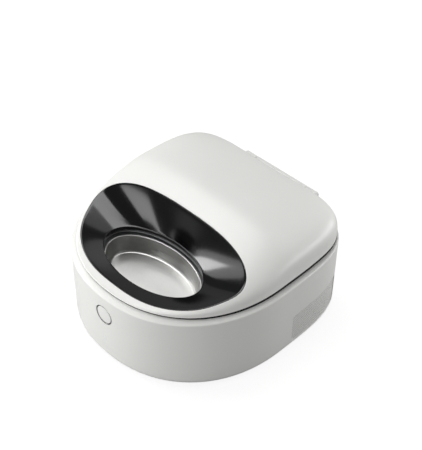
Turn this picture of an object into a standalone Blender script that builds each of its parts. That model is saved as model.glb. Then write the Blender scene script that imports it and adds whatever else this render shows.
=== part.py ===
# Chilled wet food feeder for a cat: a round cold well under a hinged lid, three steel bowls on a turntable
# Z is up, the front with the button faces -Y, and the origin is on the table under the turntable's axis

import math

import bmesh
import bpy
from mathutils import Matrix, Vector

mm = 0.001

# Fits between pieces
SEAT_GAP = 0.3 * mm
RUNNING_GAP = 0.35 * mm
TRIM_GAP = 0.5 * mm
OVERRUN = 4 * mm

# The round well, and the casing's clearance round it
WELL_RADIUS = 138.5 * mm
SIDE_CLEARANCE = 21.5 * mm
FRONT_CLEARANCE = 31.5 * mm
REAR_CLEARANCE = 22.5 * mm

# Outer casing
FRONT_SQUARENESS = 2.19
REAR_SQUARENESS = 3.87
BODY_TOP = 121 * mm
SHOULDER_HEIGHT = 7.7 * mm
SHOULDER_INSET = 4.8 * mm
SHOULDER_TIP = 0.8 * mm
BOTTOM_EDGE_HEIGHT = 10 * mm
BOTTOM_EDGE_INSET = 7 * mm
WALL = 2.6 * mm
LEDGE_DROP = 1.8 * mm
LEDGE_WIDTH = 4.2 * mm
DECK_DROP = 9.4 * mm
DECK_THICKNESS = 2.4 * mm
BOTTOM_EDGE_TURN = (0, 35, 90)
CASING_SIDES = 48
ROUND_SIDES = 40

# Rubber feet and the bottom cover
FOOT_HEIGHT = 2 * mm
FOOT_RADIUS = 9 * mm
FOOT_ANGLES = (45, 135, 225, 315)
FOOT_CHAMFER = 0.6 * mm
BASE_PLATE_THICKNESS = 2.6 * mm
INTAKE_SLOTS = 12
INTAKE_INNER_RADIUS = 12 * mm
INTAKE_OUTER_RADIUS = 34 * mm
INTAKE_SLOT_WIDTH_SHARE = 0.5

# Well and turntable
WELL_WALL = 2 * mm
WELL_FLOOR_DROP = 50 * mm
WELL_FLOOR_THICKNESS = 3 * mm
WELL_CORNER = 5 * mm
WELL_FLANGE_WIDTH = 9 * mm
WELL_FLANGE_THICKNESS = 1.5 * mm
FOAM_THICKNESS = 9 * mm
CARRIER_EDGE_GAP = 2.5 * mm
CARRIER_THICKNESS = 2.2 * mm
CARRIER_SKIRT = 10 * mm
CARRIER_HUB_RADIUS = 16 * mm
SHAFT_RADIUS = 6 * mm
SHAFT_SOCKET_DEPTH = 12 * mm
BUSH_WALL = 2.4 * mm
BUSH_FLANGE_RADIUS = 12 * mm
BUSH_FLANGE_THICKNESS = 1.4 * mm

# Steel bowls
BOWL_COUNT = 3
BOWL_ORBIT_SHARE = 0.608
BOWL_LENGTH_SHARE = 0.582
BOWL_WIDTH_SHARE = 0.34
BOWL_RIM_DROP = 13.4 * mm
BOWL_RIM_WIDTH = 2.6 * mm
BOWL_RIM_THICKNESS = 1.7 * mm
BOWL_DEPTH = 26.6 * mm
BOWL_WALL = 0.9 * mm
BOWL_TAPER = 3 * mm
BOWL_FLOOR_ROUND = 2.5 * mm
BOWL_SIDES = 32

# Gear drive of the turntable
GEAR_MODULE = 1.9 * mm
DRIVE_TEETH = 30
PINION_TEETH = 10
GEAR_THICKNESS = 6 * mm
GEAR_BACKLASH = 0.35 * mm
GEAR_ADDENDUM_SHARE = 0.8
GEAR_DEDENDUM_SHARE = 1.05
PRESSURE_ANGLE = math.radians(25)
GEAR_HEADROOM = 3 * mm
GEAR_CASE_CLEARANCE = 1.4 * mm
GEAR_CASE_WALL = 2 * mm
MOTOR_RADIUS = 13 * mm
MOTOR_HEIGHT = 26 * mm
MOTOR_SHAFT_RADIUS = 3 * mm
MOTOR_BORE_DEPTH = 7 * mm

# Thermoelectric cooler
INLET_ROOM = 24.42 * mm
SINK_FRONT_GAP = 13.7 * mm
COLD_PLATE_LENGTH = 80 * mm
COLD_PLATE_MARGIN = 5 * mm
COLD_PLATE_THICKNESS = 5 * mm
PELTIER_SIDE = 40 * mm
PELTIER_THICKNESS = 4 * mm
SINK_LENGTH = 90 * mm
SINK_BASE = 4 * mm
FIN_COUNT = 14
FIN_THICKNESS = 1.4 * mm
FAN_FLOOR_GAP = 11.2 * mm
FAN_SIDE = 80 * mm
FAN_DEPTH = 15 * mm
FAN_RADIUS = 36 * mm
FAN_TIP_GAP = 1.5 * mm
FAN_HUB_RADIUS = 14 * mm
FAN_CAP_DEPTH = 2 * mm
FAN_STRUT_WIDTH = 5 * mm
FAN_AXLE_RADIUS = 2 * mm
BLADE_COUNT = 7
BLADE_THICKNESS = 1.2 * mm
BLADE_PITCH_NEAR = math.radians(50)
BLADE_PITCH_FAR = math.radians(28)
BLADE_CHORD = 13 * mm

# Vents in the rear half of each side
VENT_FRONT_Y = 17 * mm
VENT_REAR_GAP = 39 * mm
VENT_LOW_Z = 9 * mm
VENT_HIGH_Z = 60 * mm
VENT_CORNER = 10 * mm
VENT_RECESS = 0.8 * mm
VENT_THICKNESS = 2 * mm
VENT_MARGIN = 6 * mm
VENT_HOLE_PITCH = 12 * mm
VENT_HOLE_RADIUS = 2 * mm

# Button, indicator and circuit boards
BUTTON_DROP = 40 * mm
BUTTON_RADIUS = 13.2 * mm
BUTTON_THICKNESS = 3 * mm
BUTTON_SINK = 0.4 * mm
BUTTON_TRAVEL = 1.2 * mm
BUTTON_STEM_RADIUS = 3 * mm
BUTTON_STEM_LENGTH = 4 * mm
RING_WALL = 1.3 * mm
RING_SINK = 0.1 * mm
RING_DEPTH = 6 * mm
BOSS_WALL = 2.4 * mm
BOSS_LENGTH = 10.5 * mm
INDICATOR_Z = 36 * mm
INDICATOR_LENGTH = 12 * mm
INDICATOR_RADIUS = 1.6 * mm
INDICATOR_FLANGE = 1.4 * mm
BOARD_THICKNESS = 1.6 * mm
BUTTON_BOARD_SIZE = (40 * mm, 44 * mm)
SWITCH_SIZE = (6 * mm, 6 * mm)
CONTROL_BOARD_SIZE = (90 * mm, 56 * mm)
CONTROL_BOARD_SETBACK = 75 * mm
STANDOFF_HEIGHT = 6 * mm
STANDOFF_RADIUS = 3 * mm
STANDOFF_MARGIN = 6 * mm
CHIP_SIZE = (16 * mm, 16 * mm, 2.5 * mm)
SENSOR_RADIUS = 3 * mm
SENSOR_HEIGHT = 4 * mm
SENSOR_ORBIT_SHARE = 0.72

# Power inlet low on the back
INLET_X = 0
INLET_Z = 26 * mm
INLET_RADIUS = 6 * mm
INLET_BORE_RADIUS = 3.2 * mm
INLET_PIN_RADIUS = 1.1 * mm
INLET_DEPTH = 14 * mm
INLET_BORE_DEPTH = 10 * mm

# Lid
LID_EDGE_GAP = 1.5 * mm
LID_SKIRT = 1.4 * mm
LID_RISE = 55.5 * mm
LID_WALL = 2.4 * mm
LID_ROUNDNESS = 3.32
LID_CORNER_FULLNESS = 0.6
LID_REAR_EASE = 0.75
LID_EASE_POWER = 4
LID_CREST_SHARE = 0.101
LID_SLOPE_SHARE = 1.26
LID_CREST_SOFTNESS_SHARE = 0.05
LID_RINGS = 9
LID_RING_CROWDING = 2.4
LINER_DROP = 3.8 * mm
LINER_GAP = 1 * mm
LINER_THICKNESS = 2 * mm
SEAL_WIDTH = 5 * mm

# Funnel bezel round the feeding opening
BEZEL_LENGTH_SHARE = 0.916
BEZEL_WIDTH_SHARE = 0.4866
BEZEL_SHIFT = 1.1 * mm
BEZEL_SQUARENESS = 2.63
BEZEL_EGG_SHARE = 0.24
BEZEL_WALL = 2 * mm
BEZEL_LAND = 1.4 * mm
BEZEL_RINGS = 6
BEZEL_HOLLOW = 1.05
OPENING_LENGTH_MARGIN = 1.4 * mm
OPENING_WIDTH_MARGIN = -1.2 * mm
OPENING_DROP = 1.2 * mm
BEZEL_NECK = 5 * mm

# Shutter under the opening
SHUTTER_GAP = 2 * mm
SHUTTER_THICKNESS = 1.8 * mm
SHUTTER_EDGE_GAP = 1.5 * mm
SHUTTER_HOLE_MARGIN = 1 * mm
SHUTTER_SHAFT_RADIUS = 4 * mm
SHUTTER_BOSS_RADIUS = 8 * mm
SHUTTER_MODULE = 1.4 * mm
SHUTTER_TEETH = 20
SHUTTER_PINION_TEETH = 10
SHUTTER_GEAR_THICKNESS = 5 * mm
SHUTTER_MOTOR_RADIUS = 11 * mm
SHUTTER_MOTOR_HEIGHT = 19 * mm
SHUTTER_MOTOR_SHAFT = 2.2 * mm
SHUTTER_MOTOR_BORE = 5 * mm

# Rear hinge
HINGE_OFFSET = 2.5 * mm
HINGE_RISE = 3.2 * mm
KNUCKLE_RADIUS = 6.5 * mm
HINGE_HALF_LENGTH = 67 * mm
KNUCKLE_LENGTH = 19 * mm
KNUCKLE_DROP = 20 * mm
KNUCKLE_ROOT = 1.6 * mm
HINGE_END_GAP = 1 * mm
HINGE_PIN_RADIUS = 2 * mm
HINGE_WEB_HEIGHT = 8 * mm

# Sizes, heights and places that follow from the sizes above
BODY_WIDTH = 2 * (WELL_RADIUS + SIDE_CLEARANCE)
FRONT_REACH = WELL_RADIUS + FRONT_CLEARANCE
REAR_REACH = WELL_RADIUS + REAR_CLEARANCE
WELL_FLOOR_Z = BODY_TOP - WELL_FLOOR_DROP
BOWL_RIM_Z = BODY_TOP - BOWL_RIM_DROP
BUTTON_Z = BODY_TOP - BUTTON_DROP
FOOT_ORBIT = WELL_RADIUS
CARRIER_RADIUS = WELL_RADIUS - CARRIER_EDGE_GAP
SHUTTER_RADIUS = WELL_RADIUS - SHUTTER_EDGE_GAP
SENSOR_ORBIT = WELL_RADIUS * SENSOR_ORBIT_SHARE
BOWL_ORBIT = WELL_RADIUS * BOWL_ORBIT_SHARE
BOWL_HALF_LENGTH = WELL_RADIUS * BOWL_LENGTH_SHARE
BOWL_HALF_WIDTH = WELL_RADIUS * BOWL_WIDTH_SHARE
OPENING_HALF_LENGTH = BOWL_HALF_LENGTH + OPENING_LENGTH_MARGIN
OPENING_HALF_WIDTH = BOWL_HALF_WIDTH + OPENING_WIDTH_MARGIN
BEZEL_HALF_LENGTH = WELL_RADIUS * BEZEL_LENGTH_SHARE
BEZEL_HALF_WIDTH = WELL_RADIUS * BEZEL_WIDTH_SHARE
LID_CREST_Y = WELL_RADIUS * LID_CREST_SHARE
CONTROL_BOARD_Y = CONTROL_BOARD_SETBACK - FRONT_REACH
VENT_REAR_Y = REAR_REACH - VENT_REAR_GAP
BODY_BASE = FOOT_HEIGHT
CREASE_Z = BODY_TOP - SHOULDER_HEIGHT
LEDGE_Z = BODY_TOP - LEDGE_DROP
DECK_Z = BODY_TOP - DECK_DROP
SLOT_INSET = SHOULDER_INSET + SHOULDER_TIP
LEDGE_INNER = SLOT_INSET + LEDGE_WIDTH
LID_INSET = SLOT_INSET + LID_EDGE_GAP
LID_EDGE_Z = BODY_TOP - LID_SKIRT
BASE_PLATE_TOP = BODY_BASE + BASE_PLATE_THICKNESS
FLANGE_Z = DECK_Z + SEAT_GAP
FLANGE_TOP = FLANGE_Z + WELL_FLANGE_THICKNESS
WELL_OUTER = WELL_RADIUS + WELL_WALL
WELL_UNDERSIDE = WELL_FLOOR_Z - WELL_FLOOR_THICKNESS
BUSH_RADIUS = SHAFT_RADIUS + RUNNING_GAP + BUSH_WALL
BUSH_TOP = WELL_FLOOR_Z + SEAT_GAP + BUSH_FLANGE_THICKNESS
CARRIER_TOP = BOWL_RIM_Z - BOWL_RIM_THICKNESS - SEAT_GAP
HUB_BOTTOM = BUSH_TOP + SEAT_GAP
GEAR_TOP = WELL_UNDERSIDE - GEAR_HEADROOM
GEAR_BOTTOM = GEAR_TOP - GEAR_THICKNESS
GEAR_CENTRES = GEAR_MODULE * (DRIVE_TEETH + PINION_TEETH) / 2
PINION_PLACE = Vector((0, -GEAR_CENTRES, 0))
GEAR_CASE_MARGIN = GEAR_ADDENDUM_SHARE * GEAR_MODULE + GEAR_CASE_CLEARANCE
GEAR_CASE_REACH = DRIVE_TEETH * GEAR_MODULE / 2 + GEAR_CASE_MARGIN + GEAR_CASE_WALL
COOLER_Y = (GEAR_CASE_REACH + REAR_REACH - INLET_ROOM) / 2
SINK_WIDTH = 2 * (COOLER_Y - GEAR_CASE_REACH - SINK_FRONT_GAP)
COLD_PLATE_SIZE = (COLD_PLATE_LENGTH, SINK_WIDTH - 2 * COLD_PLATE_MARGIN)
GEAR_CASE_FLOOR = GEAR_BOTTOM - GEAR_CASE_CLEARANCE
GEAR_CASE_BOTTOM = GEAR_CASE_FLOOR - GEAR_CASE_WALL
MOTOR_TOP = GEAR_CASE_BOTTOM - SEAT_GAP
COLD_PLATE_TOP = WELL_UNDERSIDE - SEAT_GAP
PELTIER_TOP = COLD_PLATE_TOP - COLD_PLATE_THICKNESS - SEAT_GAP
SINK_TOP = PELTIER_TOP - PELTIER_THICKNESS - SEAT_GAP
FAN_BOTTOM = BASE_PLATE_TOP + FAN_FLOOR_GAP
FAN_TOP = FAN_BOTTOM + FAN_DEPTH
SINK_BOTTOM = FAN_TOP + SEAT_GAP
FAN_PLACE = Vector((0, COOLER_Y, 0))
BEZEL_Y = BEZEL_SHIFT - BOWL_ORBIT
OPENING_Z = BODY_TOP - OPENING_DROP
LINER_TOP = BODY_TOP - LINER_DROP
LINER_BOTTOM = LINER_TOP - LINER_THICKNESS
SHUTTER_BOTTOM = BOWL_RIM_Z + SHUTTER_GAP
SHUTTER_TOP = SHUTTER_BOTTOM + SHUTTER_THICKNESS
SHUTTER_MOTOR_TOP = LINER_TOP + SEAT_GAP + SHUTTER_MOTOR_HEIGHT
SHUTTER_GEAR_Z = SHUTTER_MOTOR_TOP + SEAT_GAP
SHUTTER_GEAR_TOP = SHUTTER_GEAR_Z + SHUTTER_GEAR_THICKNESS
SHUTTER_CENTRES = SHUTTER_MODULE * (SHUTTER_TEETH + SHUTTER_PINION_TEETH) / 2
SHUTTER_MOTOR_PLACE = Vector((0, SHUTTER_CENTRES, 0))
HINGE_PLACE = Vector((0, REAR_REACH + HINGE_OFFSET, BODY_TOP + HINGE_RISE))
KNUCKLE_INNER_X = HINGE_HALF_LENGTH - KNUCKLE_LENGTH
RING_INNER = BUTTON_RADIUS + RUNNING_GAP
RING_OUTER = RING_INNER + RING_WALL
BUTTON_HOLE = RING_OUTER + SEAT_GAP
BOSS_END_Y = -FRONT_REACH + BOSS_LENGTH
BUTTON_BOARD_Y = BOSS_END_Y + SEAT_GAP
BOARD_Z = BASE_PLATE_TOP + STANDOFF_HEIGHT + SEAT_GAP

# Turns that point a profile's local Z another way
TO_FRONT = Matrix.Rotation(math.pi / 2, 4, "X")
TO_BACK = Matrix.Rotation(-math.pi / 2, 4, "X")
TO_SIDE = Matrix(((0, 0, 1, 0), (1, 0, 0, 0), (0, 1, 0, 0), (0, 0, 0, 1)))
UPRIGHT = Matrix.Identity(4)


# Scene and materials


def clear_scene():
    for thing in list(bpy.data.objects):
        bpy.data.objects.remove(thing)


def new_collection(name):
    collection = bpy.data.collections.new(name)
    bpy.context.scene.collection.children.link(collection)
    return collection


def material(name, colour, roughness, metallic=0.0, transmission=0.0):
    made = bpy.data.materials.new(name)
    made.use_nodes = True
    shader = made.node_tree.nodes["Principled BSDF"]
    shader.inputs["Base Color"].default_value = (*colour, 1)
    shader.inputs["Roughness"].default_value = roughness
    shader.inputs["Metallic"].default_value = metallic
    shader.inputs["Transmission Weight"].default_value = transmission
    made.diffuse_color = (*colour, 1)
    return made


clear_scene()
PARTS = new_collection("wet_food_feeder")
CUTTERS = new_collection("cutters")

WHITE = material("white_casing", (0.80, 0.80, 0.78), 0.42)
PIANO_BLACK = material("gloss_black", (0.012, 0.012, 0.013), 0.12)
STEEL = material("bowl_steel", (0.66, 0.65, 0.63), 0.25, 1.0)
CHROME = material("bright_trim", (0.62, 0.62, 0.62), 0.15, 1.0)
GREY = material("inner_grey", (0.30, 0.31, 0.32), 0.5)
DARK = material("dark_plastic", (0.05, 0.05, 0.055), 0.5)
RUBBER = material("rubber", (0.06, 0.06, 0.06), 0.85)
FOAM = material("foam", (0.74, 0.74, 0.70), 0.95)
ACETAL = material("acetal_gear", (0.82, 0.81, 0.76), 0.45)
ALUMINIUM = material("aluminium", (0.70, 0.71, 0.72), 0.35, 1.0)
CERAMIC = material("peltier_ceramic", (0.86, 0.86, 0.84), 0.6)
BOARD_GREEN = material("circuit_board", (0.02, 0.16, 0.07), 0.5)
LENS = material("indicator_lens", (0.9, 0.92, 0.92), 0.2, 0.0, 0.6)


# Making and joining solids


def add_object(name, mesh, finish, collection=PARTS):
    mesh.materials.clear()
    mesh.materials.append(finish)
    made = bpy.data.objects.new(name, mesh)
    collection.objects.link(made)
    return made


def mesh_from(bm, name):
    bmesh.ops.recalc_face_normals(bm, faces=bm.faces)
    mesh = bpy.data.meshes.new(name)
    bm.to_mesh(mesh)
    bm.free()
    return mesh


def shade(thing, angle=math.radians(35)):
    thing.data.shade_smooth()
    thing.data.set_sharp_from_angle(angle=angle)
    return thing


def loft(name, rings, finish, closed=False, collection=PARTS):
    """Skin the rings in their order. A closed loft joins its last ring to its first, another one is capped."""
    bm = bmesh.new()
    loops = [[bm.verts.new(point) for point in ring] for ring in rings]
    neighbours = loops[1:] + (loops[:1] if closed else [])
    for low, high in zip(loops, neighbours):
        for i in range(len(low)):
            bm.faces.new((low[i - 1], low[i], high[i], high[i - 1]))
    if not closed:
        bm.faces.new(loops[0])
        bm.faces.new(loops[-1])
    return shade(add_object(name, mesh_from(bm, name), finish, collection))


def plate(name, outlines, low, high, finish, turn=UPRIGHT, collection=PARTS):
    """Fill flat outlines, the later ones as holes, and extrude them from low to high along the turned Z."""
    curve = bpy.data.curves.new(name, "CURVE")
    curve.dimensions = "2D"
    curve.fill_mode = "BOTH"
    curve.extrude = (high - low) / 2
    for outline in outlines:
        spline = curve.splines.new("POLY")
        spline.points.add(len(outline) - 1)
        for point, (x, y) in zip(spline.points, outline):
            point.co = (x, y, 0, 1)
        spline.use_cyclic_u = True
    guide = bpy.data.objects.new(name + "_outline", curve)
    bpy.context.scene.collection.objects.link(guide)
    bpy.context.view_layer.update()
    evaluated = guide.evaluated_get(bpy.context.evaluated_depsgraph_get())
    mesh = bpy.data.meshes.new_from_object(evaluated)
    bpy.data.objects.remove(guide)
    bm = bmesh.new()
    bm.from_mesh(mesh)
    bmesh.ops.remove_doubles(bm, verts=bm.verts, dist=0.001 * mm)
    bmesh.ops.transform(bm, matrix=turn @ Matrix.Translation((0, 0, (low + high) / 2)), verts=bm.verts)
    bpy.data.meshes.remove(mesh)
    return shade(add_object(name, mesh_from(bm, name), finish, collection))


def turned(name, profile, place, finish, sides=32, turn=UPRIGHT, collection=PARTS):
    """Spin a profile of (radius, height) points about its local Z. It runs down the outer side."""
    mesh = bpy.data.meshes.new(name)
    count = len(profile)
    on_axis = profile[0][0] == 0 and profile[-1][0] == 0
    edges = [(i, (i + 1) % count) for i in range(count - on_axis)]
    mesh.from_pydata([(radius, 0, height) for radius, height in profile], edges, [])
    made = add_object(name, mesh, finish, collection)
    made.matrix_world = Matrix.Translation(place) @ turn
    screw = made.modifiers.new("spin", "SCREW")
    screw.steps = screw.render_steps = sides
    screw.use_merge_vertices = True
    screw.merge_threshold = 0.01 * mm
    screw.use_smooth_shade = False
    return made


def box(name, low, high, finish, collection=PARTS):
    bm = bmesh.new()
    size = Vector(high) - Vector(low)
    centre = (Vector(high) + Vector(low)) / 2
    bmesh.ops.create_cube(bm, size=1, matrix=Matrix.Translation(centre) @ Matrix.Diagonal((*size, 1)))
    return add_object(name, mesh_from(bm, name), finish, collection)


def rod(name, place, radius, low, high, finish, sides=24, turn=UPRIGHT, collection=PARTS):
    """A plain cylinder from low to high along the turned Z through its place."""
    bm = bmesh.new()
    bmesh.ops.create_cone(bm, cap_ends=True, segments=sides, radius1=radius, radius2=radius, depth=high - low)
    shift = Matrix.Translation((0, 0, (low + high) / 2))
    bmesh.ops.transform(bm, matrix=Matrix.Translation(place) @ turn @ shift, verts=bm.verts)
    return shade(add_object(name, mesh_from(bm, name), finish, collection))


def combine(thing, tool, operation):
    step = thing.modifiers.new(operation.lower() + "_" + tool.name, "BOOLEAN")
    step.operation = operation
    step.object = tool
    step.solver = "EXACT"
    tool.hide_render = True
    tool.display_type = "WIRE"


def cut(thing, tool):
    combine(thing, tool, "DIFFERENCE")


def join(thing, tool):
    combine(thing, tool, "UNION")


def joint_axis(name, place, parent=None):
    empty = bpy.data.objects.new(name, None)
    empty.empty_display_size = SHAFT_RADIUS
    PARTS.objects.link(empty)
    empty.parent = parent
    empty.location = Vector(place) - (parent.matrix_world.translation if parent else Vector((0, 0, 0)))
    bpy.context.view_layer.update()
    return empty


def carry(empty, *things):
    """Parent the things to the empty and keep them where they are."""
    bpy.context.view_layer.update()
    for thing in things:
        thing.parent = empty
        thing.matrix_parent_inverse = empty.matrix_world.inverted()


# Outlines and rings


def signed_power(value, power):
    return math.copysign(abs(value) ** power, value)


def turn_angles(count):
    return [2 * math.pi * i / count for i in range(count)]


def body_radius(angle, inset):
    """The casing's outline: one superellipse in front of the turntable's axis and a squarer one behind it."""
    rear = math.sin(angle) > 0
    squareness = REAR_SQUARENESS if rear else FRONT_SQUARENESS
    half_width = BODY_WIDTH / 2 - inset
    depth = (REAR_REACH if rear else FRONT_REACH) - inset
    across = abs(math.cos(angle)) / half_width
    along = abs(math.sin(angle)) / depth
    return (across**squareness + along**squareness) ** (-1 / squareness)


def body_outline(inset):
    """Points of the same curve by its own parameter, which crowds them into the corners."""
    points = []
    for a in turn_angles(CASING_SIDES):
        rear = math.sin(a) > 0
        power = 2 / (REAR_SQUARENESS if rear else FRONT_SQUARENESS)
        depth = (REAR_REACH if rear else FRONT_REACH) - inset
        across = (BODY_WIDTH / 2 - inset) * signed_power(math.cos(a), power)
        points.append((across, depth * signed_power(math.sin(a), power)))
    return points


def body_ring(inset, height):
    return [(x, y, height) for x, y in body_outline(inset)]


def circle(radius, centre=(0, 0), sides=CASING_SIDES):
    return [(centre[0] + radius * math.cos(a), centre[1] + radius * math.sin(a)) for a in turn_angles(sides)]


def circle_ring(radius, height):
    return [(x, y, height) for x, y in circle(radius)]


def oval(half_length, half_width, centre_y=-BOWL_ORBIT, turn=0.0, sides=BOWL_SIDES):
    """An ellipse in front of the turntable's axis, turned about that axis."""
    points = [(half_length * math.cos(a), centre_y + half_width * math.sin(a)) for a in turn_angles(sides)]
    c, s = math.cos(turn), math.sin(turn)
    return [(c * x - s * y, s * x + c * y) for x, y in points]


def rounded_box(left, right, low, high, radius, steps=6):
    """A rectangle with round corners, from arcs about its four corner centres."""
    corners = ((right, high, 0), (left, high, 1), (left, low, 2), (right, low, 3))
    points = []
    for x, y, quarter in corners:
        centre_x = x + (radius if x == left else -radius)
        centre_y = y + (radius if y == low else -radius)
        for i in range(steps + 1):
            a = (quarter + i / steps) * math.pi / 2
            points.append((centre_x + radius * math.cos(a), centre_y + radius * math.sin(a)))
    return points


# Casing


def base_housing():
    edge = [math.radians(a) for a in BOTTOM_EDGE_TURN]
    rings = [
        body_ring(BOTTOM_EDGE_INSET * (1 - math.sin(a)), BODY_BASE + BOTTOM_EDGE_HEIGHT * (1 - math.cos(a)))
        for a in edge
    ]
    rings += [
        body_ring(0, CREASE_Z),
        body_ring(SHOULDER_INSET, BODY_TOP),
        body_ring(SLOT_INSET, BODY_TOP),
        body_ring(SLOT_INSET, LEDGE_Z),
        body_ring(LEDGE_INNER, LEDGE_Z),
        body_ring(LEDGE_INNER, DECK_Z),
        circle_ring(WELL_OUTER + TRIM_GAP, DECK_Z),
        circle_ring(WELL_OUTER + TRIM_GAP, DECK_Z - DECK_THICKNESS),
        body_ring(WALL, DECK_Z - DECK_THICKNESS),
        body_ring(WALL, BODY_BASE + BOTTOM_EDGE_HEIGHT),
        body_ring(BOTTOM_EDGE_INSET + WALL, BODY_BASE),
    ]
    housing = loft("base_housing", rings, WHITE, closed=True)
    join(housing, knuckles())
    join(housing, button_boss())
    front = Vector((0, -FRONT_REACH, 0))
    button_hole = rod(
        "button_hole", front + Vector((0, 0, BUTTON_Z)), BUTTON_HOLE,
        -BOSS_LENGTH - OVERRUN, OVERRUN, DARK, 32, TO_FRONT, CUTTERS,
    )
    indicator_hole = plate("indicator_hole", [pill(SEAT_GAP)], FRONT_REACH - WALL - OVERRUN, FRONT_REACH + OVERRUN,
                           DARK, TO_FRONT, CUTTERS)
    inlet_hole = rod(
        "inlet_hole", (INLET_X, REAR_REACH, INLET_Z), INLET_RADIUS + SEAT_GAP,
        -WALL - OVERRUN, OVERRUN, DARK, 20, TO_BACK, CUTTERS,
    )
    pin_hole = rod(
        "knuckle_bore", HINGE_PLACE, HINGE_PIN_RADIUS + RUNNING_GAP,
        -HINGE_HALF_LENGTH - OVERRUN, HINGE_HALF_LENGTH + OVERRUN, DARK, 16, TO_SIDE, CUTTERS,
    )
    for tool in (button_hole, indicator_hole, inlet_hole, pin_hole):
        cut(housing, tool)
    for side in (1, -1):
        cut(housing, vent_prism("vent_window_" + side_name(side), side, 0))
    return housing


def knuckle_outline(radius):
    """The hinge eye on a gusset that runs down into the rear wall, as (y, z)."""
    y, z = HINGE_PLACE.y, HINGE_PLACE.z
    root = REAR_REACH - KNUCKLE_ROOT
    foot = z - KNUCKLE_DROP
    arc = [math.radians(a) for a in range(-30, 211, 20)]
    eye = [(y + radius * math.cos(a), z + radius * math.sin(a)) for a in arc]
    return [(root, foot), (REAR_REACH + KNUCKLE_ROOT, foot)] + eye + [(root, CREASE_Z)]


def knuckles():
    """Both fixed eyes of the hinge as one solid: the long bar is cut away between them."""
    pair = plate("knuckle_bar", [knuckle_outline(KNUCKLE_RADIUS)], KNUCKLE_INNER_X, HINGE_HALF_LENGTH,
                 WHITE, TO_SIDE, CUTTERS)
    twin = pair.modifiers.new("other_side", "MIRROR")
    twin.use_axis = (True, False, False)
    twin.merge_threshold = 0.01 * mm
    return pair


def button_boss():
    radius = BUTTON_HOLE + BOSS_WALL
    return rod("button_boss", (0, -FRONT_REACH, BUTTON_Z), radius, -BOSS_LENGTH, -WALL / 2, WHITE, 32,
               TO_FRONT, CUTTERS)


def base_plate():
    inset = BOTTOM_EDGE_INSET + WALL + SEAT_GAP
    slots = []
    for a in turn_angles(INTAKE_SLOTS):
        half = math.pi / INTAKE_SLOTS * INTAKE_SLOT_WIDTH_SHARE
        corners = (
            (INTAKE_INNER_RADIUS, a - half), (INTAKE_OUTER_RADIUS, a - half),
            (INTAKE_OUTER_RADIUS, a + half), (INTAKE_INNER_RADIUS, a + half),
        )
        slots.append([(r * math.cos(b), COOLER_Y + r * math.sin(b)) for r, b in corners])
    cover = plate("base_plate", [body_outline(inset), *slots], BODY_BASE, BASE_PLATE_TOP, GREY)
    for i, (x, y) in enumerate(standoff_places()):
        post = rod("standoff_%d" % i, (x, y, 0), STANDOFF_RADIUS, BASE_PLATE_TOP - BASE_PLATE_THICKNESS / 2,
                   BASE_PLATE_TOP + STANDOFF_HEIGHT, GREY, 10, UPRIGHT, CUTTERS)
        join(cover, post)
    return cover


def standoff_places():
    half_x = CONTROL_BOARD_SIZE[0] / 2 - STANDOFF_MARGIN
    half_y = CONTROL_BOARD_SIZE[1] / 2 - STANDOFF_MARGIN
    return [(sx * half_x, CONTROL_BOARD_Y + sy * half_y) for sx in (-1, 1) for sy in (-1, 1)]


def feet():
    top = FOOT_HEIGHT - SEAT_GAP
    profile = [
        (0, top), (FOOT_RADIUS, top), (FOOT_RADIUS, FOOT_CHAMFER), (FOOT_RADIUS - FOOT_CHAMFER, 0), (0, 0),
    ]
    for i, degrees in enumerate(FOOT_ANGLES):
        a = math.radians(degrees)
        place = Vector((FOOT_ORBIT * math.cos(a), FOOT_ORBIT * math.sin(a), 0))
        turned("foot_%d" % (i + 1), profile, place, RUBBER, 16)


def side_name(side):
    return "right" if side > 0 else "left"


def vent_prism(name, side, margin):
    """The vent's window seen from the side, as a prism through the wall, smaller by the margin."""
    outline = rounded_box(
        VENT_FRONT_Y + margin, VENT_REAR_Y - margin, VENT_LOW_Z + margin, VENT_HIGH_Z - margin,
        VENT_CORNER - margin,
    )
    near = BODY_WIDTH / 4
    far = BODY_WIDTH / 2 + OVERRUN
    low, high = (near, far) if side > 0 else (-far, -near)
    return plate(name, [outline], low, high, DARK, TO_SIDE, CUTTERS)


def vent_grille(side):
    """A slice of the casing's own curved wall, set back a little and pierced by staggered holes."""
    inner = VENT_RECESS + VENT_THICKNESS
    high = VENT_HIGH_Z + OVERRUN
    rings = [
        body_ring(VENT_RECESS, BODY_BASE), body_ring(VENT_RECESS, high),
        body_ring(inner, high), body_ring(inner, BODY_BASE),
    ]
    name = side_name(side)
    grille = loft("vent_grille_" + name, rings, WHITE, closed=True)
    combine(grille, vent_prism("vent_panel_" + name, side, SEAT_GAP), "INTERSECT")
    cut(grille, vent_holes("vent_holes_" + name, side))
    return grille


def vent_holes(name, side):
    """One cutter of many short square pins, in rows that are staggered by half a pitch."""
    bm = bmesh.new()
    row_pitch = VENT_HOLE_PITCH * math.sqrt(3) / 2
    length = BODY_WIDTH / 4 + OVERRUN
    middle = side * (BODY_WIDTH / 4 + length / 2)
    rows = int((VENT_HIGH_Z - VENT_LOW_Z - 2 * VENT_MARGIN) / row_pitch) + 1
    low_row = (VENT_HIGH_Z + VENT_LOW_Z - (rows - 1) * row_pitch) / 2
    for row in range(rows):
        odd = row % 2
        count = int((VENT_REAR_Y - VENT_FRONT_Y - 2 * VENT_MARGIN) / VENT_HOLE_PITCH) + 1 - odd
        first = (VENT_REAR_Y + VENT_FRONT_Y - (count - 1) * VENT_HOLE_PITCH) / 2
        for column in range(count):
            centre = Vector((middle, first + column * VENT_HOLE_PITCH, low_row + row * row_pitch))
            bmesh.ops.create_cone(
                bm, cap_ends=True, segments=4, radius1=VENT_HOLE_RADIUS, radius2=VENT_HOLE_RADIUS,
                depth=length, matrix=Matrix.Translation(centre) @ TO_SIDE,
            )
    return add_object(name, mesh_from(bm, name), DARK, CUTTERS)


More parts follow.
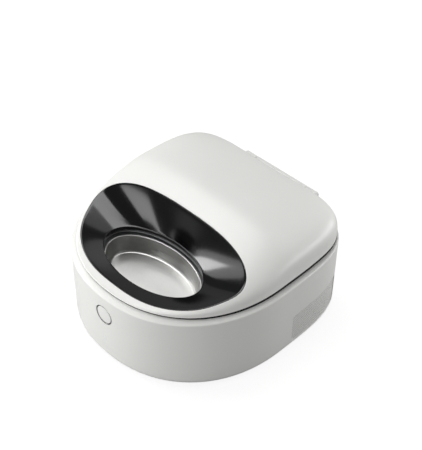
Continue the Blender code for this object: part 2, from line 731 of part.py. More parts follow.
# Well and turntable


def inner_tub():
    hole = BUSH_RADIUS + SEAT_GAP
    flange = WELL_OUTER + WELL_FLANGE_WIDTH
    floor_edge = WELL_RADIUS - WELL_CORNER
    profile = [
        (WELL_RADIUS, FLANGE_TOP), (flange, FLANGE_TOP), (flange, FLANGE_Z), (WELL_OUTER, FLANGE_Z),
        (WELL_OUTER, WELL_FLOOR_Z), (floor_edge, WELL_UNDERSIDE), (hole, WELL_UNDERSIDE),
        (hole, WELL_FLOOR_Z), (floor_edge, WELL_FLOOR_Z), (WELL_RADIUS, WELL_FLOOR_Z + WELL_CORNER),
    ]
    return turned("inner_tub", profile, (0, 0, 0), GREY, ROUND_SIDES)


def foam_insulation():
    inner = WELL_OUTER + SEAT_GAP
    top = DECK_Z - DECK_THICKNESS - SEAT_GAP
    profile = [
        (inner, top), (inner + FOAM_THICKNESS, top), (inner + FOAM_THICKNESS, WELL_FLOOR_Z), (inner, WELL_FLOOR_Z),
    ]
    return turned("foam_insulation", profile, (0, 0, 0), FOAM, ROUND_SIDES)


def shaft_bush():
    bore = SHAFT_RADIUS + RUNNING_GAP
    low = WELL_FLOOR_Z + SEAT_GAP
    profile = [
        (bore, BUSH_TOP), (BUSH_FLANGE_RADIUS, BUSH_TOP), (BUSH_FLANGE_RADIUS, low), (BUSH_RADIUS, low),
        (BUSH_RADIUS, WELL_UNDERSIDE), (bore, WELL_UNDERSIDE),
    ]
    return turned("shaft_bush", profile, (0, 0, 0), ACETAL, 16)


def tray_carrier(axis):
    """Round deck with a downturned rim and a socketed hub, open under each bowl."""
    under = CARRIER_TOP - CARRIER_THICKNESS
    skirt = CARRIER_TOP - CARRIER_SKIRT
    inner = CARRIER_RADIUS - CARRIER_THICKNESS
    socket = SHAFT_RADIUS + SEAT_GAP
    socket_top = HUB_BOTTOM + SHAFT_SOCKET_DEPTH
    profile = [
        (0, CARRIER_TOP), (CARRIER_RADIUS, CARRIER_TOP), (CARRIER_RADIUS, skirt), (inner, skirt),
        (inner, under), (CARRIER_HUB_RADIUS, under), (CARRIER_HUB_RADIUS, HUB_BOTTOM), (socket, HUB_BOTTOM),
        (socket, socket_top), (0, socket_top),
    ]
    carrier = turned("tray_carrier", profile, (0, 0, 0), GREY, ROUND_SIDES)
    fit = BOWL_RIM_WIDTH - TRIM_GAP
    for i in range(BOWL_COUNT):
        outline = oval(BOWL_HALF_LENGTH - fit, BOWL_HALF_WIDTH - fit, turn=2 * math.pi * i / BOWL_COUNT)
        cut(carrier, plate("bowl_hole_%d" % (i + 1), [outline], under - OVERRUN, CARRIER_TOP + OVERRUN, DARK,
                           UPRIGHT, CUTTERS))
    carry(axis, carrier)


def bowl(i, axis):
    """Pressed oval bowl: a turned-out rim, steep walls and a flat floor with a rounded corner."""
    turn = 2 * math.pi * i / BOWL_COUNT

    def ring(inset, height):
        outline = oval(BOWL_HALF_LENGTH - inset, BOWL_HALF_WIDTH - inset, turn=turn)
        return [(x, y, height) for x, y in outline]

    rim_low = BOWL_RIM_Z - BOWL_RIM_THICKNESS
    floor = BOWL_RIM_Z - BOWL_DEPTH
    inside = BOWL_RIM_WIDTH + BOWL_WALL
    rings = [
        ring(inside + BOWL_TAPER + BOWL_FLOOR_ROUND - BOWL_WALL, floor - BOWL_WALL),
        ring(inside + BOWL_TAPER - BOWL_WALL, floor + BOWL_FLOOR_ROUND - BOWL_WALL),
        ring(BOWL_RIM_WIDTH, rim_low),
        ring(0, rim_low),
        ring(BOWL_WALL / 2, BOWL_RIM_Z),
        ring(BOWL_RIM_WIDTH, BOWL_RIM_Z),
        ring(inside + BOWL_TAPER, floor + BOWL_FLOOR_ROUND),
        ring(inside + BOWL_TAPER + BOWL_FLOOR_ROUND, floor),
    ]
    carry(axis, loft("bowl_%d" % (i + 1), rings, STEEL))


# Gears


def involute(angle):
    return math.tan(angle) - angle


def gear_outline(teeth, module, first_tooth):
    """Teeth with straight flanks from the root circle to the tip circle, each thinned by the backlash."""
    pitch = teeth * module / 2
    base = pitch * math.cos(PRESSURE_ANGLE)
    radii = (pitch - GEAR_DEDENDUM_SHARE * module, pitch + GEAR_ADDENDUM_SHARE * module)
    half_pitch_angle = math.pi / (2 * teeth) - GEAR_BACKLASH / (2 * pitch)
    halves = []
    for radius in radii:
        flank = involute(math.acos(min(1, base / radius)))
        halves.append((radius, half_pitch_angle + involute(PRESSURE_ANGLE) - flank))
    points = []
    for a in turn_angles(teeth):
        middle = a + first_tooth
        rising = [(radius, middle - half) for radius, half in halves]
        falling = [(radius, middle + half) for radius, half in reversed(halves)]
        points += [(radius * math.cos(b), radius * math.sin(b)) for radius, b in rising + falling]
    return points


def moved(outline, place):
    return [(x + place.x, y + place.y) for x, y in outline]


def turntable_drive(axis):
    """The shaft that carries the tray, and the large gear under the well."""
    bottom = GEAR_CASE_FLOOR + SEAT_GAP
    top = HUB_BOTTOM + SHAFT_SOCKET_DEPTH - SEAT_GAP
    shaft = rod("turntable_shaft", (0, 0, 0), SHAFT_RADIUS, bottom, top, ALUMINIUM, 16)
    outline = gear_outline(DRIVE_TEETH, GEAR_MODULE, -math.pi / 2)
    bore = circle(SHAFT_RADIUS + SEAT_GAP, sides=16)
    gear = plate("drive_gear", [outline, bore], GEAR_BOTTOM, GEAR_TOP, ACETAL)
    carry(axis, shaft, gear)


def pinion(name, teeth, module, place, low, high, shaft_radius, shaft_low, first_tooth, axis):
    """A pinion moulded on its motor's output shaft."""
    made = plate(name, [moved(gear_outline(teeth, module, first_tooth), place)], low, high, ACETAL)
    join(made, rod(name + "_shaft", place, shaft_radius, shaft_low, (low + high) / 2, ACETAL, 16, UPRIGHT, CUTTERS))
    carry(axis, made)


def motor(name, place, radius, low, high, bore_radius, bore_depth):
    """A can with a stepped nose and a bore for the output shaft."""
    nose = radius - bore_depth / 2
    step = high - bore_depth / 2
    profile = [
        (0, high - bore_depth), (bore_radius, high - bore_depth), (bore_radius, high), (nose, high),
        (nose, step), (radius, step), (radius, low), (0, low),
    ]
    return turned(name, profile, place, ALUMINIUM, 20)


def gear_housing():
    """A cup under both gears: the outline wraps the large gear's circle and the pinion's circle."""
    big = DRIVE_TEETH * GEAR_MODULE / 2 + GEAR_CASE_MARGIN
    small = PINION_TEETH * GEAR_MODULE / 2 + GEAR_CASE_MARGIN
    top = WELL_UNDERSIDE - SEAT_GAP
    outer = wrapped_circles(big + GEAR_CASE_WALL, small + GEAR_CASE_WALL)
    inner = wrapped_circles(big, small)
    case = plate("gear_housing", [outer], GEAR_CASE_BOTTOM, top, DARK)
    cut(case, plate("gear_space", [inner], GEAR_CASE_FLOOR, top + OVERRUN, DARK, UPRIGHT, CUTTERS))
    cut(case, rod("motor_shaft_hole", PINION_PLACE, MOTOR_SHAFT_RADIUS + RUNNING_GAP,
                  GEAR_CASE_BOTTOM - OVERRUN, GEAR_CASE_FLOOR + OVERRUN, DARK, 16, UPRIGHT, CUTTERS))
    return case


def wrapped_circles(big, small, steps=20):
    """The belt line round a big circle on the axis and a small one in front of it."""
    lean = math.asin((big - small) / GEAR_CENTRES)
    points = []
    for i in range(steps + 1):
        a = -lean + (math.pi + 2 * lean) * i / steps
        points.append((big * math.cos(a), big * math.sin(a)))
    for i in range(steps // 2 + 1):
        a = math.pi + lean + (math.pi - 2 * lean) * i / (steps // 2)
        points.append((small * math.cos(a), small * math.sin(a) - GEAR_CENTRES))
    return points


# Cooler


def centred_box(name, size, high, thickness, finish):
    half_x, half_y = size[0] / 2, size[1] / 2
    return box(name, (-half_x, COOLER_Y - half_y, high - thickness), (half_x, COOLER_Y + half_y, high), finish)


def heat_sink():
    """An extruded comb: its fins run front to back and hang down to the fan."""
    pitch = (SINK_LENGTH - FIN_THICKNESS) / (FIN_COUNT - 1)
    base = SINK_TOP - SINK_BASE
    outline = [(SINK_LENGTH / 2, SINK_TOP), (-SINK_LENGTH / 2, SINK_TOP)]
    for i in range(FIN_COUNT):
        left = -SINK_LENGTH / 2 + i * pitch
        tooth = [(left, SINK_BOTTOM), (left + FIN_THICKNESS, SINK_BOTTOM)]
        if i > 0:
            tooth = [(left, base)] + tooth
        if i < FIN_COUNT - 1:
            tooth = tooth + [(left + FIN_THICKNESS, base)]
        outline += tooth
    reach = COOLER_Y + SINK_WIDTH / 2
    return plate("heat_sink", [outline], -reach, -reach + SINK_WIDTH, ALUMINIUM, TO_FRONT)


def fan_frame():
    half = FAN_SIDE / 2
    corner = FAN_SIDE / 16
    outline = rounded_box(-half, half, COOLER_Y - half, COOLER_Y + half, corner, 3)
    frame = plate("fan_frame", [outline, *fan_windows()], FAN_BOTTOM, FAN_TOP, DARK)
    seat = FAN_BOTTOM + FAN_CAP_DEPTH
    cut(frame, rod("fan_duct", FAN_PLACE, FAN_RADIUS + FAN_TIP_GAP, seat, FAN_TOP + OVERRUN, DARK, 28, UPRIGHT,
                   CUTTERS))
    join(frame, rod("fan_axle", FAN_PLACE, FAN_AXLE_RADIUS, seat - FAN_CAP_DEPTH / 2,
                    FAN_TOP - 2 * FAN_CAP_DEPTH, DARK, 12, UPRIGHT, CUTTERS))
    return frame


def fan_windows(steps=4):
    """The four openings between the struts, from the motor's seat to just inside the duct."""
    windows = []
    for quarter in range(4):
        points = []
        for radius, order in ((FAN_HUB_RADIUS, 1), (FAN_RADIUS, -1)):
            lean = math.asin(FAN_STRUT_WIDTH / 2 / radius)
            for i in range(steps + 1):
                share = i / steps if order > 0 else 1 - i / steps
                a = quarter * math.pi / 2 + lean + (math.pi / 2 - 2 * lean) * share
                points.append((radius * math.cos(a), COOLER_Y + radius * math.sin(a)))
        windows.append(points)
    return windows


def fan_rotor(axis):
    """A cup over the axle with twisted blades, each swept from a steep root to a flat tip."""
    low = FAN_BOTTOM + FAN_CAP_DEPTH + SEAT_GAP
    high = FAN_TOP - SEAT_GAP
    bore = FAN_AXLE_RADIUS + RUNNING_GAP
    bore_top = FAN_TOP - 2 * FAN_CAP_DEPTH + RUNNING_GAP
    profile = [(0, high), (FAN_HUB_RADIUS, high), (FAN_HUB_RADIUS, low), (bore, low), (bore, bore_top), (0, bore_top)]
    rotor = turned("fan_rotor", profile, FAN_PLACE, DARK, 24)
    middle = (low + high) / 2
    for i in range(BLADE_COUNT):
        join(rotor, blade("blade_%d" % i, 2 * math.pi * i / BLADE_COUNT, middle))
    carry(axis, rotor)


def blade(name, heading, height, sections=2):
    """A loft of thin rectangles that turn and lengthen along the radius."""
    rings = []
    out = Vector((math.cos(heading), math.sin(heading), 0))
    around = Vector((-math.sin(heading), math.cos(heading), 0))
    up = Vector((0, 0, 1))
    root = FAN_HUB_RADIUS - FAN_AXLE_RADIUS
    for i in range(sections + 1):
        share = i / sections
        radius = root + (FAN_RADIUS - root) * share
        pitch = BLADE_PITCH_NEAR + (BLADE_PITCH_FAR - BLADE_PITCH_NEAR) * share
        chord = (around * math.cos(pitch) + up * math.sin(pitch)) * BLADE_CHORD / 2
        thick = (up * math.cos(pitch) - around * math.sin(pitch)) * BLADE_THICKNESS / 2
        centre = FAN_PLACE + out * radius + up * height
        rings.append([centre + chord + thick, centre - chord + thick, centre - chord - thick, centre + chord - thick])
    return loft(name, rings, DARK, collection=CUTTERS)


# Button, boards and inlet


def power_button(axis):
    front = -FRONT_REACH + BUTTON_SINK
    profile = [
        (0, 0), (BUTTON_RADIUS, 0), (BUTTON_RADIUS, -BUTTON_THICKNESS), (BUTTON_STEM_RADIUS, -BUTTON_THICKNESS),
        (BUTTON_STEM_RADIUS, -BUTTON_THICKNESS - BUTTON_STEM_LENGTH), (0, -BUTTON_THICKNESS - BUTTON_STEM_LENGTH),
    ]
    carry(axis, turned("power_button", profile, (0, front, BUTTON_Z), WHITE, 32, TO_FRONT))


def button_ring():
    profile = [(RING_INNER, 0), (RING_OUTER, 0), (RING_OUTER, -RING_DEPTH), (RING_INNER, -RING_DEPTH)]
    return turned("button_ring", profile, (0, -FRONT_REACH + RING_SINK, BUTTON_Z), CHROME, 32, TO_FRONT)


def pill(margin):
    """The upright outline of the indicator with round ends, larger by the margin, as (x, z)."""
    radius = INDICATOR_RADIUS + margin
    half = INDICATOR_LENGTH / 2 + margin
    return rounded_box(-radius, radius, INDICATOR_Z - half, INDICATOR_Z + half, radius, 4)


def indicator_lens():
    """A light guide with a flange behind the wall."""
    wall_back = FRONT_REACH - WALL - SEAT_GAP
    lens = plate("indicator_lens", [pill(0)], wall_back - INDICATOR_FLANGE / 2, FRONT_REACH - RING_SINK, LENS, TO_FRONT)
    join(lens, plate("indicator_flange", [pill(INDICATOR_FLANGE)], wall_back - INDICATOR_FLANGE, wall_back, LENS,
                     TO_FRONT, CUTTERS))
    return lens


def button_board():
    width, height = BUTTON_BOARD_SIZE
    low = (-width / 2, BUTTON_BOARD_Y, BUTTON_Z - height / 2)
    high = (width / 2, BUTTON_BOARD_Y + BOARD_THICKNESS, BUTTON_Z + height / 2)
    box("button_board", low, high, BOARD_GREEN)
    stem_end = -FRONT_REACH + BUTTON_SINK + BUTTON_THICKNESS + BUTTON_STEM_LENGTH
    face = stem_end + BUTTON_TRAVEL + SEAT_GAP
    half_x, half_z = SWITCH_SIZE[0] / 2, SWITCH_SIZE[1] / 2
    box("button_switch", (-half_x, face, BUTTON_Z - half_z), (half_x, BUTTON_BOARD_Y - SEAT_GAP, BUTTON_Z + half_z), DARK)


def control_board():
    half_x, half_y = CONTROL_BOARD_SIZE[0] / 2, CONTROL_BOARD_SIZE[1] / 2
    low = (-half_x, CONTROL_BOARD_Y - half_y, BOARD_Z)
    high = (half_x, CONTROL_BOARD_Y + half_y, BOARD_Z + BOARD_THICKNESS)
    board = box("control_board", low, high, BOARD_GREEN)
    chip_x, chip_y, chip_z = CHIP_SIZE
    sink = BOARD_THICKNESS / 2
    for i, place in enumerate((-1, 1)):
        x = place * half_x / 2
        low = (x - chip_x / 2, CONTROL_BOARD_Y - chip_y / 2, BOARD_Z + sink)
        high = (x + chip_x / 2, CONTROL_BOARD_Y + chip_y / 2, BOARD_Z + BOARD_THICKNESS + chip_z)
        join(board, box("chip_%d" % i, low, high, DARK, CUTTERS))
    return board


def power_inlet():
    """A round low-voltage socket: a barrel with a centre contact."""
    wall_y = body_radius(math.atan2(REAR_REACH, INLET_X), 0) * math.sin(math.atan2(REAR_REACH, INLET_X))
    contact = -INLET_BORE_DEPTH / 4
    profile = [
        (0, contact), (INLET_PIN_RADIUS, contact), (INLET_PIN_RADIUS, -INLET_BORE_DEPTH),
        (INLET_BORE_RADIUS, -INLET_BORE_DEPTH), (INLET_BORE_RADIUS, 0), (INLET_RADIUS, 0),
        (INLET_RADIUS, -INLET_DEPTH), (0, -INLET_DEPTH),
    ]
    place = (INLET_X, wall_y - VENT_RECESS, INLET_Z)
    return turned("power_inlet", profile, place, DARK, 20, TO_BACK)


# Lid


def crest_share(y):
    """How high the lid stands along its length: none at the front lip, all of it behind a soft crest."""
    front = FRONT_REACH - LID_INSET
    along = (y + front) / (LID_CREST_Y + front)
    ease = LID_SLOPE_SHARE - 1
    rise = LID_SLOPE_SHARE * along - ease * math.sin(min(max(along, 0), 1) * math.pi / 2)
    soft = LID_CREST_SOFTNESS_SHARE
    return -soft * math.log(math.exp(-rise / soft) + math.exp(-1 / soft))


def roundness(heading):
    """The dome's power: fuller over the rear corners, and softer at the middle of the rear edge."""
    rear = max(0.0, math.sin(heading))
    corner = 2 * rear * abs(math.cos(heading))
    return LID_ROUNDNESS + LID_CORNER_FULLNESS * corner**LID_EASE_POWER - LID_REAR_EASE * rear**LID_EASE_POWER


def dome(x, y, inset, floor, rise):
    """Height of a dome with upright sides over the casing's outline."""
    heading = math.atan2(y, x)
    power = roundness(heading)
    reach = math.hypot(x, y) / body_radius(heading, inset)
    round_off = max(0.0, 1 - reach**power) ** (1 / power)
    return floor + max(0.0, rise) * round_off


def lid_outer(x, y):
    return dome(x, y, LID_INSET, BODY_TOP, LID_RISE * crest_share(y))


def lid_inner(x, y):
    rise = LID_RISE * crest_share(y) + LID_SKIRT - LID_WALL
    return dome(x, y, LID_INSET + LID_WALL, LID_EDGE_Z, rise)


def bezel_reach(angle):
    """Distance from the bezel's centre to its egg-shaped outline, by halving the interval."""
    near, far = 0.0, 2 * BEZEL_HALF_LENGTH
    for _ in range(40):
        middle = (near + far) / 2
        along = middle * math.sin(angle) / BEZEL_HALF_WIDTH
        half_length = BEZEL_HALF_LENGTH * max(0.1, 1 + BEZEL_EGG_SHARE * along)
        across = middle * math.cos(angle) / half_length
        inside = abs(along) ** BEZEL_SQUARENESS + abs(across) ** BEZEL_SQUARENESS < 1
        near, far = (middle, far) if inside else (near, middle)
    return near


def opening_reach(angle, offset=0.0):
    across = math.cos(angle) / (OPENING_HALF_LENGTH + offset)
    along = math.sin(angle) / (OPENING_HALF_WIDTH + offset)
    return 1 / math.hypot(across, along)


def bezel_headings():
    """The directions from the bezel's centre to even steps along the casing's outline."""
    return [math.atan2(y - BEZEL_Y, x) for x, y in body_outline(LID_INSET)]


def from_bezel(heading, distance):
    return Vector((distance * math.cos(heading), BEZEL_Y + distance * math.sin(heading)))


def lid_shell():
    """Two domes over rays from the bezel's outline to the lid's edge, joined at the edge and round the bezel."""
    edge = [from_bezel(h, bezel_reach(h) + TRIM_GAP / 2) for h in bezel_headings()]
    shares = [1 - (1 - i / LID_RINGS) ** LID_RING_CROWDING for i in range(LID_RINGS + 1)]
    rings = []
    for share in shares:
        plan = blend(edge, body_outline(LID_INSET), share)
        rings.append([(p.x, p.y, lid_outer(p.x, p.y)) for p in plan])
    rings.append(body_ring(LID_INSET, LID_EDGE_Z))
    for share in reversed(shares):
        plan = blend(edge, body_outline(LID_INSET + LID_WALL), share)
        rings.append([(p.x, p.y, lid_inner(p.x, p.y)) for p in plan])
    return loft("lid_shell", rings, WHITE, closed=True)


def blend(start, end, share):
    return [Vector(a) * (1 - share) + Vector(b) * share for a, b in zip(start, end)]


def bezel():
    """A hollowed funnel from the egg-shaped rim on the dome down to the oval neck."""
    headings = bezel_headings()
    top = []
    for h in headings:
        rim = from_bezel(h, bezel_reach(h))
        top.append((h, bezel_reach(h) - TRIM_GAP / 2, lid_outer(rim.x, rim.y)))
    visible = [[place_on(h, r, z) for h, r, z in top]]
    funnel = []
    for i in range(BEZEL_RINGS + 1):
        share = i / BEZEL_RINGS
        ring = []
        for h, r, z in top:
            rim = r - BEZEL_LAND
            inner = opening_reach(h)
            fall = (1 - share) ** BEZEL_HOLLOW
            ring.append((h, rim + (inner - rim) * share, OPENING_Z + (z - OPENING_Z) * fall))
        funnel.append(ring)
        visible.append([place_on(h, r, z) for h, r, z in ring])
    neck_end = OPENING_Z - BEZEL_NECK
    visible.append([place_on(h, opening_reach(h), neck_end) for h in headings])
    hidden = [[place_on(h, opening_reach(h, BEZEL_WALL), neck_end) for h in headings]]
    for ring, above in zip(reversed(funnel), reversed(funnel[:-1])):
        hidden.append([behind(point, upper) for point, upper in zip(ring, above)])
    hidden.append([place_on(h, r, z - LID_WALL - BEZEL_WALL) for h, r, z in top])
    return loft("bezel", visible + hidden, PIANO_BLACK, closed=True)


def place_on(heading, distance, height):
    point = from_bezel(heading, distance)
    return (point.x, point.y, height)


def behind(point, above):
    """A funnel point moved by the wall's thickness, square to the slope towards the point above it."""
    heading, distance, height = point
    slope = math.atan2(above[2] - height, above[1] - distance)
    return place_on(heading, distance + BEZEL_WALL * math.sin(slope), height - BEZEL_WALL * math.cos(slope))


def lid_liner():
    """The flat underside of the lid, with a bearing tube for the shutter's shaft."""
    inset = LEDGE_INNER + LINER_GAP
    hole = [from_bezel(h, opening_reach(h, BEZEL_WALL + SEAT_GAP)) for h in bezel_headings()]
    bore_radius = SHUTTER_SHAFT_RADIUS + RUNNING_GAP
    liner = plate("lid_liner", [body_outline(inset), hole], LINER_BOTTOM, LINER_TOP, GREY)
    boss_top = SHUTTER_GEAR_Z - SEAT_GAP
    join(liner, rod("shutter_boss", (0, 0, 0), SHUTTER_BOSS_RADIUS, LINER_BOTTOM, boss_top, GREY, 24, UPRIGHT, CUTTERS))
    cut(liner, rod("shutter_bore", (0, 0, 0), bore_radius, LINER_BOTTOM - OVERRUN, boss_top + OVERRUN, GREY, 16,
                   UPRIGHT, CUTTERS))
    return liner


def lid_seal():
    inner = WELL_OUTER + (WELL_FLANGE_WIDTH - SEAL_WIDTH) / 2
    top = LINER_BOTTOM - SEAT_GAP
    low = FLANGE_TOP + SEAT_GAP
    profile = [(inner, top), (inner + SEAL_WIDTH, top), (inner + SEAL_WIDTH, low), (inner, low)]
    return turned("lid_seal", profile, (0, 0, 0), RUBBER, ROUND_SIDES)


def lid_hinge_barrel():
    """The moving eye of the hinge, with a web that meets the lid's rear wall."""
    half = KNUCKLE_INNER_X - HINGE_END_GAP
    barrel = rod("lid_hinge_barrel", HINGE_PLACE, KNUCKLE_RADIUS, -half, half, WHITE, 24, TO_SIDE)
    web_front = REAR_REACH - LID_INSET + SEAT_GAP
    web_low = BODY_TOP + LID_SKIRT / 2
    web = box("hinge_web", (-half, web_front, web_low), (half, HINGE_PLACE.y, web_low + HINGE_WEB_HEIGHT), WHITE,
              CUTTERS)
    join(barrel, web)
    cut(barrel, rod("barrel_bore", HINGE_PLACE, HINGE_PIN_RADIUS + RUNNING_GAP, -half - OVERRUN, half + OVERRUN,
                    DARK, 16, TO_SIDE, CUTTERS))
    return barrel


def hinge_pin():
    return rod("hinge_pin", HINGE_PLACE, HINGE_PIN_RADIUS, -HINGE_HALF_LENGTH, HINGE_HALF_LENGTH, CHROME, 16, TO_SIDE)


# Shutter


def shutter(axis):
    """A round plate with one oval window, on a shaft that rises through the liner to its gear."""
    window = [from_bezel(h, opening_reach(h, SHUTTER_HOLE_MARGIN)) for h in turn_angles(BOWL_SIDES)]
    rim = circle(SHUTTER_RADIUS, sides=ROUND_SIDES)
    disc = plate("shutter_disc", [rim, window], SHUTTER_BOTTOM, SHUTTER_TOP, GREY)
    join(disc, rod("shutter_shaft", (0, 0, 0), SHUTTER_SHAFT_RADIUS, SHUTTER_BOTTOM, SHUTTER_GEAR_TOP, GREY, 16,
                   UPRIGHT, CUTTERS))
    outline = gear_outline(SHUTTER_TEETH, SHUTTER_MODULE, math.pi / 2)
    bore = circle(SHUTTER_SHAFT_RADIUS + SEAT_GAP, sides=16)
    gear = plate("shutter_gear", [outline, bore], SHUTTER_GEAR_Z, SHUTTER_GEAR_TOP, ACETAL)
    carry(axis, disc, gear)


# Assembly

turntable_axis = joint_axis("turntable_axis", (0, 0, 0))
tray_pinion_axis = joint_axis("tray_pinion_axis", PINION_PLACE)
fan_axis = joint_axis("fan_axis", FAN_PLACE)
button_axis = joint_axis("button_axis", (0, -FRONT_REACH, BUTTON_Z))
lid_axis = joint_axis("lid_axis", HINGE_PLACE)
shutter_axis = joint_axis("shutter_axis", (0, 0, SHUTTER_BOTTOM), lid_axis)
shutter_pinion_axis = joint_axis("shutter_pinion_axis", SHUTTER_MOTOR_PLACE, lid_axis)

base_housing()
base_plate()
feet()
for vent_side in (1, -1):
    vent_grille(vent_side)
inner_tub()
foam_insulation()
shaft_bush()
tray_carrier(turntable_axis)
for number in range(BOWL_COUNT):
    bowl(number, turntable_axis)
turntable_drive(turntable_axis)
gear_housing()
pinion(
    "tray_pinion", PINION_TEETH, GEAR_MODULE, PINION_PLACE, GEAR_BOTTOM, GEAR_TOP, MOTOR_SHAFT_RADIUS,
    MOTOR_TOP - MOTOR_BORE_DEPTH + SEAT_GAP, math.pi / 2 + math.pi / PINION_TEETH, tray_pinion_axis,
)
motor(
    "tray_motor", PINION_PLACE, MOTOR_RADIUS, MOTOR_TOP - MOTOR_HEIGHT, MOTOR_TOP,
    MOTOR_SHAFT_RADIUS + RUNNING_GAP, MOTOR_BORE_DEPTH,
)
centred_box("cold_plate", COLD_PLATE_SIZE, COLD_PLATE_TOP, COLD_PLATE_THICKNESS, ALUMINIUM)
centred_box("peltier_module", (PELTIER_SIDE, PELTIER_SIDE), PELTIER_TOP, PELTIER_THICKNESS, CERAMIC)
heat_sink()
fan_frame()
fan_rotor(fan_axis)
button_ring()
power_button(button_axis)
indicator_lens()
button_board()
control_board()
sensor_z = WELL_FLOOR_Z + SEAT_GAP
rod("temperature_sensor", (0, -SENSOR_ORBIT, 0), SENSOR_RADIUS, sensor_z, sensor_z + SENSOR_HEIGHT, CHROME, 12)
power_inlet()
hinge_pin()
carry(lid_axis, lid_shell(), bezel(), lid_liner(), lid_seal(), lid_hinge_barrel())
carry(
    lid_axis,
    motor(
        "shutter_motor", SHUTTER_MOTOR_PLACE, SHUTTER_MOTOR_RADIUS, LINER_TOP + SEAT_GAP, SHUTTER_MOTOR_TOP,
        SHUTTER_MOTOR_SHAFT + RUNNING_GAP, SHUTTER_MOTOR_BORE,
    ),
)
shutter(shutter_axis)
pinion(
    "shutter_pinion", SHUTTER_PINION_TEETH, SHUTTER_MODULE, SHUTTER_MOTOR_PLACE, SHUTTER_GEAR_Z,
    SHUTTER_GEAR_TOP, SHUTTER_MOTOR_SHAFT, SHUTTER_MOTOR_TOP - SHUTTER_MOTOR_BORE + SEAT_GAP,
    -math.pi / 2 + math.pi / SHUTTER_PINION_TEETH, shutter_pinion_axis,
)
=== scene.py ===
import math

import bmesh
import bpy
import numpy as np
from mathutils import Matrix, Vector


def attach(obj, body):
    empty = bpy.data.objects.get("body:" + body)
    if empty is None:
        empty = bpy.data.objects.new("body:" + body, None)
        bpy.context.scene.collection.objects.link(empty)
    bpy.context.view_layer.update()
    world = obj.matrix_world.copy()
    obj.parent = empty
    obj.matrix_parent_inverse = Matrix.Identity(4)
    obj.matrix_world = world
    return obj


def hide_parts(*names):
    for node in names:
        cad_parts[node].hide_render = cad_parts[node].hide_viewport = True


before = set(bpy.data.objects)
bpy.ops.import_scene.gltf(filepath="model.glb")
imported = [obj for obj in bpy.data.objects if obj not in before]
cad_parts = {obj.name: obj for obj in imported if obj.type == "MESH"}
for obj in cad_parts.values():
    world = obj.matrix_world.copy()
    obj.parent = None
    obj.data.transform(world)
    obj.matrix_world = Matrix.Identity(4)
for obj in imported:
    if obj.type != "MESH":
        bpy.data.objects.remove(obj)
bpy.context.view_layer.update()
print("frame loaded")

mm = 0.001

# Nodes and finishes


# Channels of an sRGB hex value, each turned to linear light: c / 12.92 below the knee, a power of 2.4 above it
def toLinear(hexColour):
    channels = [(hexColour >> shift & 255) / 255 for shift in (16, 8, 0)]
    return [c / 12.92 if c <= 0.04045 else ((c + 0.055) / 1.055) ** 2.4 for c in channels]


# One shader node with its settings; an input is a value, or another node's output to link. It goes by its number,
# as i0, or by its name, as From_Min
def addNode(tree, kind, settings=None, **inputs):
    node = tree.nodes.new(kind)
    for key, value in (settings or {}).items():
        setattr(node, key, value)
    for key, value in inputs.items():
        byNumber = key[0] == "i" and key[1:].isdigit()
        socket = node.inputs[int(key[1:]) if byNumber else key.replace("_", " ")]
        if isinstance(value, bpy.types.NodeSocket):
            tree.links.new(value, socket)
        else:
            socket.default_value = value
    return node


# The output of a math node with two inputs
def combine(tree, operation, first, second):
    return addNode(tree, "ShaderNodeMath", {"operation": operation}, i0=first, i1=second).outputs[0]


